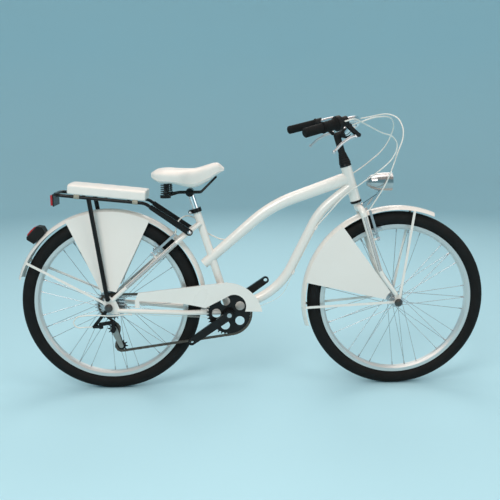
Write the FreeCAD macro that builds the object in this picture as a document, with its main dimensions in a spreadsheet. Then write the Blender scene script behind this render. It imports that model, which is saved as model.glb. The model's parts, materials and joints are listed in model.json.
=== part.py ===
import FreeCAD, Part
import math
import os
from types import SimpleNamespace

import Sketcher

# A beach cruiser bicycle with 26-inch wheels.
# X points forward, Y to the rider's left, Z up; the ground is Z = 0.
# Lengths are millimetres, angles degrees.

SIZES = {
    # Wheels
    "wheelbase": 1056, "tyre_radius": 330, "tyre_section_radius": 25,
    "rim_radius": 283, "rim_depth": 19, "rim_track": 12, "rim_width": 32, "rim_bed_width": 16,
    "spoke_radius": 1, "nipple_radius": 2, "nipple_length": 12, "spoke_stagger": 3,
    "spokes_per_side": 18, "spoke_cross_angle": 65,
    "hub_barrel_radius": 13, "hub_flange_radius": 24, "hub_flange_thickness": 3,
    "hub_cup_radius": 15, "spoke_hole_inset": 4,
    "front_hub_width": 94, "front_flange": 34, "front_dropout_width": 100,
    "rear_left_flange": 36, "rear_right_flange": 20, "rear_hub_left": 60, "rear_hub_right": 25,
    "rear_dropout_width": 135,
    "axle_radius": 4.8, "cone_radius": 8, "cone_length": 15,
    "axle_nut_radius": 8.5, "axle_nut_length": 8, "axle_cap_radius": 15, "axle_cap_length": 12,
    "running_clearance": 0.06, "air_gap": 0.4, "overrun": 6,
    # Frame
    "bb_reach": 435, "bb_height": 294, "bb_shell_radius": 20, "bb_shell_width": 68, "bb_cup_radius": 17,
    "bb_cup_flange": 3,
    "seat_angle": 73, "seat_tube_length": 403, "seat_tube_radius": 14.3, "seat_bore_depth": 250,
    "head_angle": 73, "fork_rake": 38, "head_tube_start": 400, "head_tube_length": 130,
    "head_tube_radius": 19.5, "head_bore_radius": 16,
    "top_tube_head_drop": 43, "top_tube_head_slope": 19.4, "top_tube_seat_slope": 40.5,
    "top_tube_bend_reach": 592, "top_tube_bend_radius": 470, "top_tube_tail": 38,
    "top_tube_radius": 18, "top_tube_head_height": 24, "top_tube_head_width": 17,
    "down_tube_head_drop": 73, "down_tube_radius": 18,
    "down_tube_upper_reach": 770, "down_tube_upper_height": 663, "down_tube_upper_bend": 250,
    "down_tube_lower_reach": 622, "down_tube_lower_height": 368, "down_tube_lower_bend": 260,
    "cable_guide_radius": 4, "cable_guide_length": 16,
    "chain_stay_radius": 11, "chain_stay_end_radius": 8, "chain_stay_start": 30, "chain_stay_drop": 14,
    "chain_stay_knee": 285, "chain_stay_knee_spread": 42, "chain_stay_knee_drop": 33,
    "chain_stay_root_spread": 20, "chain_stay_bend": 300, "chain_stay_bridge": 372, "bridge_radius": 6,
    "seat_stay_radius": 8, "seat_stay_top_drop": 56, "seat_stay_knee": 256, "seat_stay_knee_rise": 238,
    "seat_stay_knee_spread": 47, "seat_stay_bend": 120, "seat_stay_foot": 12, "seat_stay_foot_rise": 26,
    "dropout_thickness": 5, "dropout_width": 46, "dropout_height": 52,
    "seat_collar_radius": 19, "seat_collar_height": 15, "seat_bolt_radius": 4, "seat_bolt_length": 34,
    "headset_height": 9, "headset_radius": 21,
    # Steering
    "steerer_radius": 12.7, "quill_radius": 11, "quill_depth": 80, "fork_crown": 372,
    "fork_spread": 48, "fork_crown_bend": 30, "fork_blade_radius": 13, "fork_tip_radius": 7.5,
    "fork_straight_end": 120, "fork_blade_lead": 8, "fork_bend": 190, "fork_tip_thickness": 6,
    "fork_tip_reach": 26, "fork_tip_lag": 5, "fork_tip_eye_radius": 12, "brake_boss_radius": 4,
    "boot_height": 40, "boot_top_radius": 13.5, "stem_radius": 12.5, "stem_rise": 115,
    "stem_reach": 30, "stem_clamp_radius": 18, "stem_clamp_width": 42,
    "bar_radius": 11.1, "bar_straight": 40, "bar_shoulder_lead": 26, "bar_shoulder_rise": 44,
    "bar_shoulder_spread": 130, "bar_sweep_lead": -4, "bar_sweep_rise": 52, "bar_sweep_spread": 224,
    "bar_end_lead": -176, "bar_end_rise": 8, "bar_end_spread": 303,
    "bar_bend": 70, "grip_cap": 4, "grip_radius": 16, "grip_length": 118, "grip_flange_radius": 19,
    "grip_flange": 5,
    "shifter_grip_length": 46, "shifter_grip_radius": 17.5, "shifter_gap": 1.5,
    "shifter_case_radius": 25, "shifter_case_length": 20,
    "lever_clamp_radius": 17, "lever_clamp_length": 20, "lever_arm_drop": 55,
    "lever_arm_lead": 40,
    "lever_pin_radius": 3, "lever_length": 105, "lever_thickness": 6,
    "lever_hub_radius": 7, "lever_fall": 30, "lever_roll_left": 20, "lever_roll_right": 8,
    "lever_cheek": 3, "lever_barrel": 14,
    "lever_fork_width": 15,
    # Mudguards and coat guards
    "mudguard_radius": 352, "mudguard_width": 62, "mudguard_drop": 14, "mudguard_thickness": 1.5,
    "rear_mudguard_front_angle": 4, "rear_mudguard_sweep": 159.5,
    "front_mudguard_front_angle": 67, "front_mudguard_sweep": 129,
    "stay_width": 9, "stay_thickness": 2, "stay_eye_radius": 7, "stay_eye_thickness": 3, "stay_lead": 4,
    "stay_eye_reach": 15, "stay_eye_rise": 16,
    "rear_stay_angle": 152, "front_stay_angle": 80, "front_rear_stay_angle": 184,
    "coat_thickness": 1.6, "coat_top_drop": 8, "coat_gap": 0.35,
    "rear_coat_top_front": 64, "rear_coat_top_rear": 116, "rear_coat_bottom_radius": 60,
    "rear_coat_bottom_spread": 66,
    "front_coat_top_front": 126, "front_coat_top_rear": 168, "front_coat_bottom_radius": 46,
    "front_coat_bottom_spread": 53,
    # Drive
    "chain_pitch": 12.7, "ring_teeth": 40, "cog_teeth": 20, "pulley_teeth": 10,
    "chain_line": 45, "sprocket_thickness": 1.9, "tooth_tip_rise": 3.4, "tooth_root_drop": 4.6,
    "tooth_root_half": 2.6, "tooth_pitch_half": 4.55, "tooth_tip_half": 0.9,
    "roller_radius": 3.8, "roller_half_width": 1.2, "link_plate": 1, "link_height": 4.1, "link_gap": 0.08,
    "crank_length": 170, "crank_angle": 215, "crank_inner": 66, "crank_thickness": 14,
    "crank_root_width": 32, "crank_eye_width": 26, "crank_boss_radius": 19, "pedal_thread_radius": 7.14,
    "spindle_radius": 8.5, "spider_hole_radius": 17, "spider_hole_circle": 48,
    "cog_spacing": 5, "freewheel_radius": 24,
    "guide_pulley_reach": 10, "guide_pulley_height": 242, "cage_length": 69, "cage_angle": -70,
    "cage_swing": 30,
    "cage_half_width": 7, "cage_plate": 1.6, "cage_radius": 13, "pulley_bolt_radius": 2.5,
    "hanger_thickness": 4, "hanger_plate_reach": -60, "hanger_plate_width": 12, "hanger_reach": -30,
    "hanger_height": 266, "hanger_outboard": 86,
    "link_pin_radius": 3, "knuckle_outboard": 62, "link_block_height": 20, "link_pin_block": 8,
    "knuckle_radius": 9,
    # Chain guard
    "guard_offset": 61, "guard_thickness": 1.6, "guard_lip": 8, "guard_rear": 92, "guard_nose_reach": 556,
    "guard_top": 413, "guard_nose_height": 302, "guard_bracket_radius": 4,
    # Brakes
    "brake_pivot_below_rim": 30, "brake_arm_length": 108, "brake_arm_width": 13, "brake_arm_thickness": 9,
    "brake_arm_hub_radius": 8, "brake_pivot_spread": 44, "brake_offset": 26, "brake_pad_length": 52,
    "brake_pad_height": 9, "brake_pad_gap": 1.8, "brake_pad_thickness": 9, "brake_stud_radius": 3,
    "brake_top_spread": 39,
    # Seat
    "seatpost_radius": 12.7, "seatpost_insert": 110, "seatpost_rise": 66,
    "saddle_length": 257, "saddle_rear": 166, "saddle_width": 214, "saddle_base": 762, "saddle_rise": 56,
    "saddle_rear_height": 52, "saddle_side_draw": 10, "saddle_pin_inset": 30, "saddle_pin_gap": 0.35,
    "rail_radius": 3.5, "rail_spread": 22, "rail_height": 738, "rail_bend": 14,
    "saddle_clamp_radius": 15, "saddle_clamp_length": 40,
    "spring_radius": 15, "spring_wire_radius": 2, "spring_turns": 5, "spring_spread": 58,
    "spring_reach": 214, "spring_base": 735,
    # Carrier
    "rack_tube_radius": 6, "rack_spread": 62, "rack_rear": -180, "rack_rear_height": 740,
    "rack_front": 140, "rack_front_height": 706, "rack_leg_top": -58, "rack_leg_foot": -4,
    "rack_leg_foot_rise": 31, "rack_foot_radius": 9, "rack_foot_thickness": 4,
    "rack_leg_radius": 8, "rack_bend": 45, "rack_corner": 30, "rack_bar_radius": 3.5,
    "rack_strut_height": 24, "rack_strut_thickness": 5,
    "pad_length": 274, "pad_width": 142, "pad_height": 38, "pad_rear": -133, "pad_crown": 7, "pad_draw": 6,
    "reflector_width": 90, "reflector_height": 44, "reflector_thickness": 8, "reflector_bracket": 4,
    # Lights
    "tail_light_angle": 135, "tail_light_width": 46, "tail_light_height": 72, "tail_light_depth": 36,
    "tail_lens_depth": 6,
    "headlight_radius": 34, "headlight_length": 90, "headlight_rise": 452, "headlight_lead": 58,
    "headlight_wall": 2, "headlight_tail_radius": 14, "lens_thickness": 3, "lens_inset": 4,
    "light_bracket_width": 16, "light_bracket_thickness": 3, "light_ear_radius": 8, "light_ear_drop": 10,
    "light_bolt_radius": 3,
    # Cables
    "housing_radius": 2.5, "wire_radius": 0.8,
}

doc = FreeCAD.newDocument("beach_cruiser")
sheet = doc.addObject("Spreadsheet::Sheet", "sizes")
for row, (alias, value) in enumerate(SIZES.items(), start=1):
    sheet.set("A%d" % row, alias)
    sheet.set("B%d" % row, str(value))
    sheet.setAlias("B%d" % row, alias)
doc.recompute()


class Size(float):
    """A value from the sheet that keeps the expression it came from through sums."""

    def __new__(cls, value, text):
        made = float.__new__(cls, value)
        made.text = text
        return made

    def joined(self, other, value, pattern):
        other_text = other.text if isinstance(other, Size) else repr(float(other))
        return Size(value, pattern % (self.text, other_text))

    def __add__(self, other):
        return self.joined(other, float(self) + float(other), "(%s + %s)")

    def __sub__(self, other):
        return self.joined(other, float(self) - float(other), "(%s - %s)")

    def __mul__(self, other):
        return self.joined(other, float(self) * float(other), "(%s * %s)")

    def __truediv__(self, other):
        return self.joined(other, float(self) / float(other), "(%s / %s)")

    def __neg__(self):
        return Size(-float(self), "(-%s)" % self.text)


dim = SimpleNamespace(**{name: Size(sheet.get(name), "sizes." + name) for name in SIZES})

V = FreeCAD.Vector
X = V(1, 0, 0)
Y = V(0, 1, 0)
Z = V(0, 0, 1)
nodes = []
SIDES = (("left", 1), ("right", -1))


def cosine(angle):
    return math.cos(math.radians(angle))


def sine(angle):
    return math.sin(math.radians(angle))


def bind(item, name, size):
    """Ties a property to the sheet, or sets a worked-out number."""
    if isinstance(size, Size):
        item.setExpression(name, size.text)
    else:
        setattr(item, name, size)


def place(item, base, axis=Z):
    item.Placement = FreeCAD.Placement(base, FreeCAD.Rotation(Z, axis))
    return item


def node(label, item):
    """Names a finished sub-part."""
    item.Label = label
    nodes.append(item)
    return item


def feature(name, shape):
    item = doc.addObject("Part::Feature", name)
    item.Shape = shape
    return item


def rod(name, radius, length, base, axis):
    item = doc.addObject("Part::Cylinder", name)
    bind(item, "Radius", radius)
    bind(item, "Height", length)
    return place(item, base, axis)


def rod_between(name, radius, start, end):
    return rod(name, radius, (end - start).Length, start, end - start)


def disc(name, radius, length, middle, axis):
    """A cylinder centred on a point."""
    return rod(name, radius, length, middle - V(axis).normalize() * (length / 2), axis)


def fused(name, items):
    item = doc.addObject("Part::MultiFuse", name)
    item.Shapes = items
    return item


def cut(name, base, *tools):
    item = doc.addObject("Part::Cut", name)
    item.Base = base
    item.Tool = tools[0] if len(tools) == 1 else group(name + "_tools", tools)
    return item


def group(name, items):
    item = doc.addObject("Part::Compound", name)
    item.Links = list(items)
    return item


def turned(name, profile, base, axis):
    """A lathe piece: a closed half profile of (radius, height) spun about the axis."""
    body = doc.addObject("PartDesign::Body", name)
    sketch = body.newObject("Sketcher::SketchObject", name + "_profile")
    plane = [item for item in body.Origin.OriginFeatures if item.Role == "XZ_Plane"][0]
    sketch.AttachmentSupport = [(plane, "")]
    sketch.MapMode = "FlatFace"
    corners = [V(radius, height, 0) for radius, height in profile]
    count = len(corners)
    for index in range(count):
        sketch.addGeometry(Part.LineSegment(corners[index], corners[(index + 1) % count]), False)
    for index in range(count):
        sketch.addConstraint(Sketcher.Constraint("Coincident", index, 2, (index + 1) % count, 1))
    for index, point in enumerate(profile):
        for kind, size in zip(("DistanceX", "DistanceY"), point):
            number = sketch.addConstraint(Sketcher.Constraint(kind, -1, 1, index, 1, float(size)))
            if isinstance(size, Size):
                sketch.setExpression("Constraints[%d]" % number, size.text)
    spun = body.newObject("PartDesign::Revolution", name + "_turned")
    spun.Profile = sketch
    spun.ReferenceAxis = (sketch, ["V_Axis"])
    spun.Angle = 360
    return place(body, base, axis)


def plate(outline, thickness):
    """A flat piece: a closed outline of points, or of edges, pushed out along a vector."""
    if isinstance(outline[0], FreeCAD.Vector):
        wire = Part.makePolygon(list(outline) + [outline[0]])
    else:
        wire = Part.Wire(outline)
    return Part.Face(wire).extrude(thickness)


def line(start, end):
    return Part.LineSegment(start, end).toShape()


def arc(start, middle, end):
    return Part.Arc(start, middle, end).toShape()


def rounded_path(points, bends):
    """Straight runs joined by tangent arcs of the given radii."""
    edges = []
    last = points[0]
    for before, corner, after, bend in zip(points, points[1:], points[2:], bends):
        back = (before - corner).normalize()
        ahead = (after - corner).normalize()
        half_turn = (math.pi - back.getAngle(ahead)) / 2
        setback = bend * math.tan(half_turn)
        start = corner + back * setback
        end = corner + ahead * setback
        inward = (back + ahead).normalize()
        middle = corner + inward * (bend / math.cos(half_turn) - bend)
        edges.append(line(last, start))
        edges.append(arc(start, middle, end))
        last = end
    edges.append(line(last, points[-1]))
    return Part.Wire(edges)


def swept(name, points, bends, radius):
    """A bent tube of one radius."""
    path = feature(name + "_path", rounded_path(points, bends))
    ring = doc.addObject("Part::Circle", name + "_section")
    bind(ring, "Radius", radius)
    place(ring, points[0], points[1] - points[0])
    tube = doc.addObject("Part::Sweep", name)
    tube.Sections = [ring]
    tube.Spine = (path, ["Edge%d" % (index + 1) for index in range(len(path.Shape.Edges))])
    tube.Solid = True
    tube.Frenet = False
    return tube


def tapered(points, bends, first_section, last_section):
    """A bent tube that changes from its first section to its last."""
    path = rounded_path(points, bends)
    return path.makePipeShell([first_section, last_section], True, False)


def ring_wire(radius, centre, axis):
    return Part.Wire(Part.Circle(centre, axis, radius).toShape())


def oval_wire(height, width, centre, axis):
    """An upright oval square to the axis."""
    upright = Y.cross(axis).normalize()
    tall = Part.Ellipse(centre + upright * height, centre + Y * width, centre)
    return Part.Wire(tall.toShape())


# Reference points. The rear axle is set so that the whole length is centred on the origin.
rear_mudguard_tail = dim.rear_mudguard_front_angle + dim.rear_mudguard_sweep
rear_overhang = -dim.mudguard_radius * cosine(rear_mudguard_tail)
rear_axle = V((rear_overhang - dim.wheelbase - dim.tyre_radius) / 2, 0, dim.tyre_radius)
front_axle = rear_axle + X * dim.wheelbase


def bike(reach, spread, height):
    """A point by its distance ahead of the rear axle, its side and its height."""
    return V(rear_axle.x + reach, spread, height)


bb = bike(dim.bb_reach, 0, dim.bb_height)
seat_up = V(-cosine(dim.seat_angle), 0, sine(dim.seat_angle))
steer_up = V(-cosine(dim.head_angle), 0, sine(dim.head_angle))
steer_ahead = V(sine(dim.head_angle), 0, cosine(dim.head_angle))
steer_foot = front_axle - steer_ahead * dim.fork_rake


def steer(rise, lead=0, spread=0):
    """A point by its rise along the steering axis, its lead ahead of it and its side."""
    return steer_foot + steer_up * rise + steer_ahead * lead + Y * spread


def round_wheel(axle, radius, angle, spread):
    """A point by its radius and angle round an axle, from forward over the top."""
    return axle + V(radius * cosine(angle), spread, radius * sine(angle))


# Wheels


def tyre(name, axle):
    torus = doc.addObject("Part::Torus", name + "_carcass")
    bind(torus, "Radius1", dim.tyre_radius - dim.tyre_section_radius)
    bind(torus, "Radius2", dim.tyre_section_radius)
    place(torus, axle, Y)
    bed = disc(name + "_bed", dim.rim_radius, dim.tyre_section_radius * 4, axle, Y)
    return node(name, cut(name, torus, bed))


def rim(name, axle):
    half = dim.rim_width / 2
    bed = dim.rim_bed_width / 2
    inner = dim.rim_radius - dim.rim_depth
    shoulder = dim.rim_radius - dim.rim_track
    profile = [
        (dim.rim_radius, -half), (dim.rim_radius, half), (shoulder, half),
        (inner, bed), (inner, -bed), (shoulder, -half),
    ]
    return node(name, turned(name, profile, axle, Y))


def hub(name, axle, left_flange, right_flange, left_end, right_end):
    bore = dim.cone_radius + dim.running_clearance
    thick = dim.hub_flange_thickness
    profile = [
        (bore, -right_end), (dim.hub_cup_radius, -right_end),
        (dim.hub_cup_radius, -right_flange - thick), (dim.hub_flange_radius, -right_flange - thick),
        (dim.hub_flange_radius, -right_flange), (dim.hub_barrel_radius, -right_flange),
        (dim.hub_barrel_radius, left_flange), (dim.hub_flange_radius, left_flange),
        (dim.hub_flange_radius, left_flange + thick), (dim.hub_cup_radius, left_flange + thick),
        (dim.hub_cup_radius, left_end), (bore, left_end),
    ]
    return node(name, turned(name, profile, axle, Y))


def spokes(name, axle, left_flange, right_flange):
    """Crossed spokes, alternately on the outer and inner face of each flange."""
    made = []
    step = 360 / dim.spokes_per_side
    root = dim.hub_flange_radius - dim.spoke_hole_inset
    tip = dim.rim_radius - dim.rim_depth - dim.air_gap / 2
    for side, flange in ((1, left_flange), (-1, right_flange)):
        for index in range(int(dim.spokes_per_side)):
            outside = index % 2 == 0
            turn = dim.spoke_cross_angle if outside else -dim.spoke_cross_angle
            angle = index * step + (0 if side > 0 else step)
            gap = dim.spoke_radius + dim.running_clearance
            level = flange + dim.hub_flange_thickness + gap if outside else flange - gap
            start = round_wheel(axle, root, angle, side * level)
            end = round_wheel(axle, tip, angle + turn + step / 4 * side, side * dim.spoke_stagger)
            along = (end - start).normalize()
            wire = Part.makeCylinder(dim.spoke_radius, (end - start).Length, start, along)
            nipple_base = end - along * dim.nipple_length
            nipple = Part.makeCylinder(dim.nipple_radius, dim.nipple_length, nipple_base, along)
            made.append(wire.fuse(nipple))
    return node(name, feature(name, Part.makeCompound(made)))


for wheel, axle in (("front", front_axle), ("rear", rear_axle)):
    tyre(wheel + "_tyre", axle)
    rim(wheel + "_rim", axle)
front_half = dim.front_hub_width / 2
hub("front_hub", front_axle, dim.front_flange, dim.front_flange, front_half, front_half)
spokes("front_spokes", front_axle, dim.front_flange, dim.front_flange)
hub("rear_hub", rear_axle, dim.rear_left_flange, dim.rear_right_flange, dim.rear_hub_left,
    dim.rear_hub_right)
spokes("rear_spokes", rear_axle, dim.rear_left_flange, dim.rear_right_flange)


def wheel_axle(name, axle, dropout_width, dropout_thickness, right_start, left_start):
    """The fixed axle: bearing cones in the hub, spacers, nuts and round nut caps."""
    half = dropout_width / 2
    nut_start = half + dropout_thickness + dim.stay_eye_thickness * 2
    reach = nut_start + dim.axle_nut_length
    pieces = []
    for side, start in ((1, left_start), (-1, right_start)):
        away = Y * side
        label = name + ("_left" if side > 0 else "_right")
        cone = rod(label + "_cone", dim.cone_radius, half - start, axle + away * start, away)
        nut = rod(label + "_nut", dim.axle_nut_radius, dim.axle_nut_length, axle + away * nut_start, away)
        cap = doc.addObject("Part::Cone", label + "_cap")
        bind(cap, "Radius1", dim.axle_cap_radius)
        bind(cap, "Radius2", dim.axle_nut_radius)
        bind(cap, "Height", dim.axle_cap_length)
        place(cap, axle + away * reach, away)
        pieces += [cone, nut, cap]
    shaft = disc(name + "_shaft", dim.axle_radius, reach * 2, axle, Y)
    return node(name, fused(name, [shaft] + pieces))


wheel_axle("front_axle", front_axle, dim.front_dropout_width, dim.fork_tip_thickness,
           front_half - dim.cone_length, front_half - dim.cone_length)
wheel_axle("rear_axle", rear_axle, dim.rear_dropout_width, dim.dropout_thickness,
           dim.rear_hub_right - dim.cone_length, dim.rear_hub_left - dim.cone_length)

# Frame tubes
head_base = steer(dim.head_tube_start)
head_top = steer(dim.head_tube_start + dim.head_tube_length)
head_solid = rod("head_tube_solid", dim.head_tube_radius, dim.head_tube_length, head_base, steer_up)
head_bore = rod("head_tube_bore", dim.head_bore_radius, dim.head_tube_length, head_base, steer_up)
node("head_tube", cut("head_tube", head_solid, head_bore))

seat_top = bb + seat_up * dim.seat_tube_length
seat_solid = rod("seat_tube_solid", dim.seat_tube_radius, dim.seat_tube_length, bb, seat_up)
shell_solid = disc("bb_shell_solid", dim.bb_shell_radius, dim.bb_shell_width, bb, Y)
seat_joined = fused("seat_tube_joined", [seat_solid, shell_solid])
post_bore = rod("seat_tube_bore", dim.seatpost_radius + dim.running_clearance,
                dim.seat_bore_depth + dim.overrun,
                seat_top - seat_up * dim.seat_bore_depth, seat_up)
shell_bore = disc("bb_shell_bore", dim.bb_cup_radius, dim.bb_shell_width + dim.overrun, bb, Y)
node("seat_tube", cut("seat_tube", seat_joined, post_bore, shell_bore))


def slope_at(point, slope, reach):
    """The point on a line of the given slope in the middle plane, at a reach from the rear axle."""
    rise = math.tan(math.radians(slope))
    return V(rear_axle.x + reach, 0, point.z + (rear_axle.x + reach - point.x) * rise)


top_start = head_top - steer_up * dim.top_tube_head_drop
top_bend = slope_at(top_start, dim.top_tube_head_slope, dim.top_tube_bend_reach)
seat_dir = V(-cosine(dim.top_tube_seat_slope), 0, -sine(dim.top_tube_seat_slope))
# The lower run meets the seat tube's axis, then stands out behind it as a short tail.
run_cross = seat_dir.cross(seat_up).y
run_length = (bb - top_bend).cross(seat_up).y / run_cross
top_tail = top_bend + seat_dir * (run_length + dim.top_tube_tail)
top_dir = (top_bend - top_start).normalize()
top_shape = tapered(
    [top_start, top_bend, top_tail], [dim.top_tube_bend_radius],
    oval_wire(dim.top_tube_head_height, dim.top_tube_head_width, top_start, top_dir),
    oval_wire(dim.top_tube_radius, dim.top_tube_radius - dim.running_clearance, top_tail, seat_dir))
top_solid = feature("top_tube_solid", top_shape)
top_stop_shares = (0.22, 0.62)
top_stop_side = Y * (dim.top_tube_head_width + dim.cable_guide_radius * 0.8)
top_stops = [top_start + (top_bend - top_start) * share + top_stop_side for share in top_stop_shares]
top_joined = fused("top_tube_joined", [top_solid] + [
    disc("top_stop_%d" % index, dim.cable_guide_radius, dim.cable_guide_length, spot, top_dir)
    for index, spot in enumerate(top_stops)])
top_tube = node("top_tube", cut("top_tube", top_joined, head_solid, seat_solid))

down_start = head_top - steer_up * dim.down_tube_head_drop
down_upper = bike(dim.down_tube_upper_reach, 0, dim.down_tube_upper_height)
down_lower = bike(dim.down_tube_lower_reach, 0, dim.down_tube_lower_height)
down_solid = swept("down_tube_solid", [down_start, down_upper, down_lower, bb],
                   [dim.down_tube_upper_bend, dim.down_tube_lower_bend], dim.down_tube_radius)
down_mid_dir = (down_lower - down_upper).normalize()
down_front = V(-down_mid_dir.z, 0, down_mid_dir.x)
guide_out = (down_front - Y).normalize()
guide_shares = (0.18, 0.74)
guide_spots = [down_upper + (down_lower - down_upper) * share
               + guide_out * (dim.down_tube_radius + dim.cable_guide_radius * 0.8)
               for share in guide_shares]
guides = [disc("cable_guide_%d" % index, dim.cable_guide_radius, dim.cable_guide_length, spot, down_mid_dir)
          for index, spot in enumerate(guide_spots)]
down_joined = fused("down_tube_joined", [down_solid] + guides)
node("down_tube", cut("down_tube", down_joined, head_solid, top_solid, shell_solid, seat_solid))

# Rear triangle
rear_half = dim.rear_dropout_width / 2
stay_plane = rear_half + dim.dropout_thickness / 2
stay_pieces = []
seat_stay_pieces = []


def seat_stay_points(side):
    """A seat stay's foot on the dropout, its knee beside the tyre and its end on the seat tube."""
    foot = rear_axle + V(dim.seat_stay_foot, side * stay_plane, dim.seat_stay_foot_rise)
    knee = rear_axle + V(dim.seat_stay_knee, side * dim.seat_stay_knee_spread, dim.seat_stay_knee_rise)
    top = seat_top - seat_up * dim.seat_stay_top_drop + Y * (side * dim.seat_tube_radius)
    return [foot, knee, top]


dropout_shares = [(-0.42, 0.3), (-0.3, 0.74), (0.1, 0.76), (0.5, 0.5), (0.8, -0.1), (0.8, -0.5),
                  (0.3, -0.5), (-0.3, -0.28)]
for side_name, side in SIDES:
    start = rear_axle + V(dim.chain_stay_start, side * stay_plane, -dim.chain_stay_drop)
    knee = rear_axle + V(dim.chain_stay_knee, side * dim.chain_stay_knee_spread, -dim.chain_stay_knee_drop)
    root = bb + Y * (side * dim.chain_stay_root_spread)
    stay = tapered([start, knee, root], [dim.chain_stay_bend],
                   ring_wire(dim.chain_stay_end_radius, start, knee - start),
                   ring_wire(dim.chain_stay_radius, root, root - knee))
    stay_pieces.append(feature("chain_stay_" + side_name, stay))
    corner_points = [rear_axle + V(dim.dropout_width * across, side * rear_half, dim.dropout_height * up)
                     for across, up in dropout_shares]
    stay_pieces.append(feature("dropout_" + side_name,
                               plate(corner_points, Y * (side * dim.dropout_thickness))))
    seat_stay_pieces.append(swept("seat_stay_" + side_name, seat_stay_points(side), [dim.seat_stay_bend],
                                  dim.seat_stay_radius))
stay_dir = (knee - start).normalize()
stay_under = V(-stay_dir.z, 0, stay_dir.x).normalize() * -1
stop_share = 0.17
stop_drop = stay_under * (dim.chain_stay_end_radius + dim.cable_guide_radius)
stay_stop = start + (knee - start) * stop_share + stop_drop
stay_pieces.append(disc("chain_stay_stop", dim.cable_guide_radius, dim.cable_guide_length, stay_stop,
                        stay_dir))
bridge_share = (dim.chain_stay_bridge - dim.chain_stay_knee) / (dim.bb_reach - dim.chain_stay_knee)
stay_fall = dim.bb_height - rear_axle.z + dim.chain_stay_knee_drop
bridge_drop = stay_fall * bridge_share - dim.chain_stay_knee_drop
stay_opening = dim.chain_stay_root_spread - dim.chain_stay_knee_spread
bridge_spread = dim.chain_stay_knee_spread + stay_opening * bridge_share
bridge_at = rear_axle + V(dim.chain_stay_bridge, 0, bridge_drop)
stay_pieces.append(disc("chain_stay_bridge", dim.bridge_radius, bridge_spread * 2, bridge_at, Y))
stays_joined = fused("chain_stays_joined", stay_pieces)
axle_hole = disc("rear_axle_hole", dim.axle_radius, dim.rear_dropout_width * 2, rear_axle, Y)
shell_room = disc("bb_shell_room", dim.bb_shell_radius, dim.bb_shell_width + dim.bb_cup_flange * 4, bb, Y)
chain_stays = node("chain_stays", cut("chain_stays", stays_joined, shell_room, axle_hole))

# The rear brake stands on bosses behind the seat stays, level with the rim.
stay_foot, stay_knee = seat_stay_points(1)[:2]
seat_stay_dir = V(stay_knee.x - stay_foot.x, 0, stay_knee.z - stay_foot.z).normalize()
stay_back = V(-seat_stay_dir.z, 0, seat_stay_dir.x)


class BrakeSeat:
    """Where a pair of brake arms pivots: along a blade or stay, at the rim."""

    def __init__(self, axle, origin, along, outward, offset):
        track = dim.rim_radius - dim.rim_track / 2
        plane_gap = (origin + outward * offset - axle).dot(outward)
        base = (origin + outward * offset - axle).dot(along)
        self.along = along
        self.outward = outward
        self.rim_level = origin + outward * offset + along * (math.sqrt(track ** 2 - plane_gap ** 2) - base)
        self.pivot_level = self.rim_level - along * dim.brake_pivot_below_rim

    def pivot(self, side):
        return self.pivot_level + Y * (side * dim.brake_pivot_spread)


rear_brake = BrakeSeat(rear_axle, V(stay_foot.x, 0, stay_foot.z), seat_stay_dir, stay_back,
                       dim.brake_offset)
front_brake = BrakeSeat(front_axle, steer(0, dim.fork_blade_lead), steer_up, steer_ahead, dim.brake_offset)


def brake_bosses(name, seat, length):
    """Pins that reach from inside the tube to the outer face of the brake arm."""
    return [rod("%s_boss_%s" % (name, side_name), dim.brake_boss_radius, length,
                seat.pivot(side) - seat.outward * (length - dim.brake_arm_thickness / 2), seat.outward)
            for side_name, side in SIDES]


boss_length = dim.brake_offset + dim.brake_arm_thickness / 2
seat_stay_pieces += brake_bosses("rear_brake", rear_brake, boss_length)
seat_stays_joined = fused("seat_stays_joined", seat_stay_pieces)
node("seat_stays", cut("seat_stays", seat_stays_joined, seat_solid, chain_stays))

# Seat clamp and bearing cups
collar_base = seat_top - seat_up * dim.seat_collar_height
collar_out = rod("seat_collar_ring", dim.seat_collar_radius, dim.seat_collar_height, collar_base, seat_up)
collar_mid = seat_top - seat_up * (dim.seat_collar_height / 2)
collar_back = V(-seat_up.z, 0, seat_up.x)
bolt_spot = collar_mid + collar_back * (dim.seat_collar_radius + dim.seat_bolt_radius)
collar_bolt = disc("seat_collar_bolt", dim.seat_bolt_radius, dim.seat_bolt_length, bolt_spot, Y)
lugs = [disc("seat_collar_lug_" + side_name, dim.seat_bolt_radius * 1.8, dim.seat_bolt_radius * 1.5,
             bolt_spot + Y * (side * dim.seat_bolt_radius * 1.6), Y) for side_name, side in SIDES]
collar_joined = fused("seat_collar_joined", [collar_out, collar_bolt] + lugs)
node("seat_clamp", cut("seat_clamp", collar_joined, seat_solid))

steerer_bore = dim.steerer_radius + dim.running_clearance
lower_cup = turned("headset_lower_cup", [
    (steerer_bore, 0), (dim.headset_radius, 0), (dim.headset_radius, -dim.headset_height * 0.6),
    (dim.head_tube_radius, -dim.headset_height), (steerer_bore, -dim.headset_height)], head_base, steer_up)
upper_cup = turned("headset_upper_cup", [
    (steerer_bore, 0), (dim.headset_radius, 0), (dim.headset_radius, dim.headset_height * 0.6),
    (dim.head_tube_radius, dim.headset_height), (steerer_bore, dim.headset_height)], head_top, steer_up)
spindle_bore = dim.spindle_radius + dim.running_clearance
shell_half = dim.bb_shell_width / 2
cups = [lower_cup, upper_cup]
for side_name, side in SIDES:
    cups.append(turned("bb_cup_" + side_name, [
        (spindle_bore, shell_half * 0.4), (dim.bb_cup_radius, shell_half * 0.4),
        (dim.bb_cup_radius, shell_half),
        (dim.bb_shell_radius, shell_half), (dim.bb_shell_radius, shell_half + dim.bb_cup_flange),
        (spindle_bore, shell_half + dim.bb_cup_flange)], bb, Y * side))
node("bearing_cups", group("bearing_cups", cups))

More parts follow.
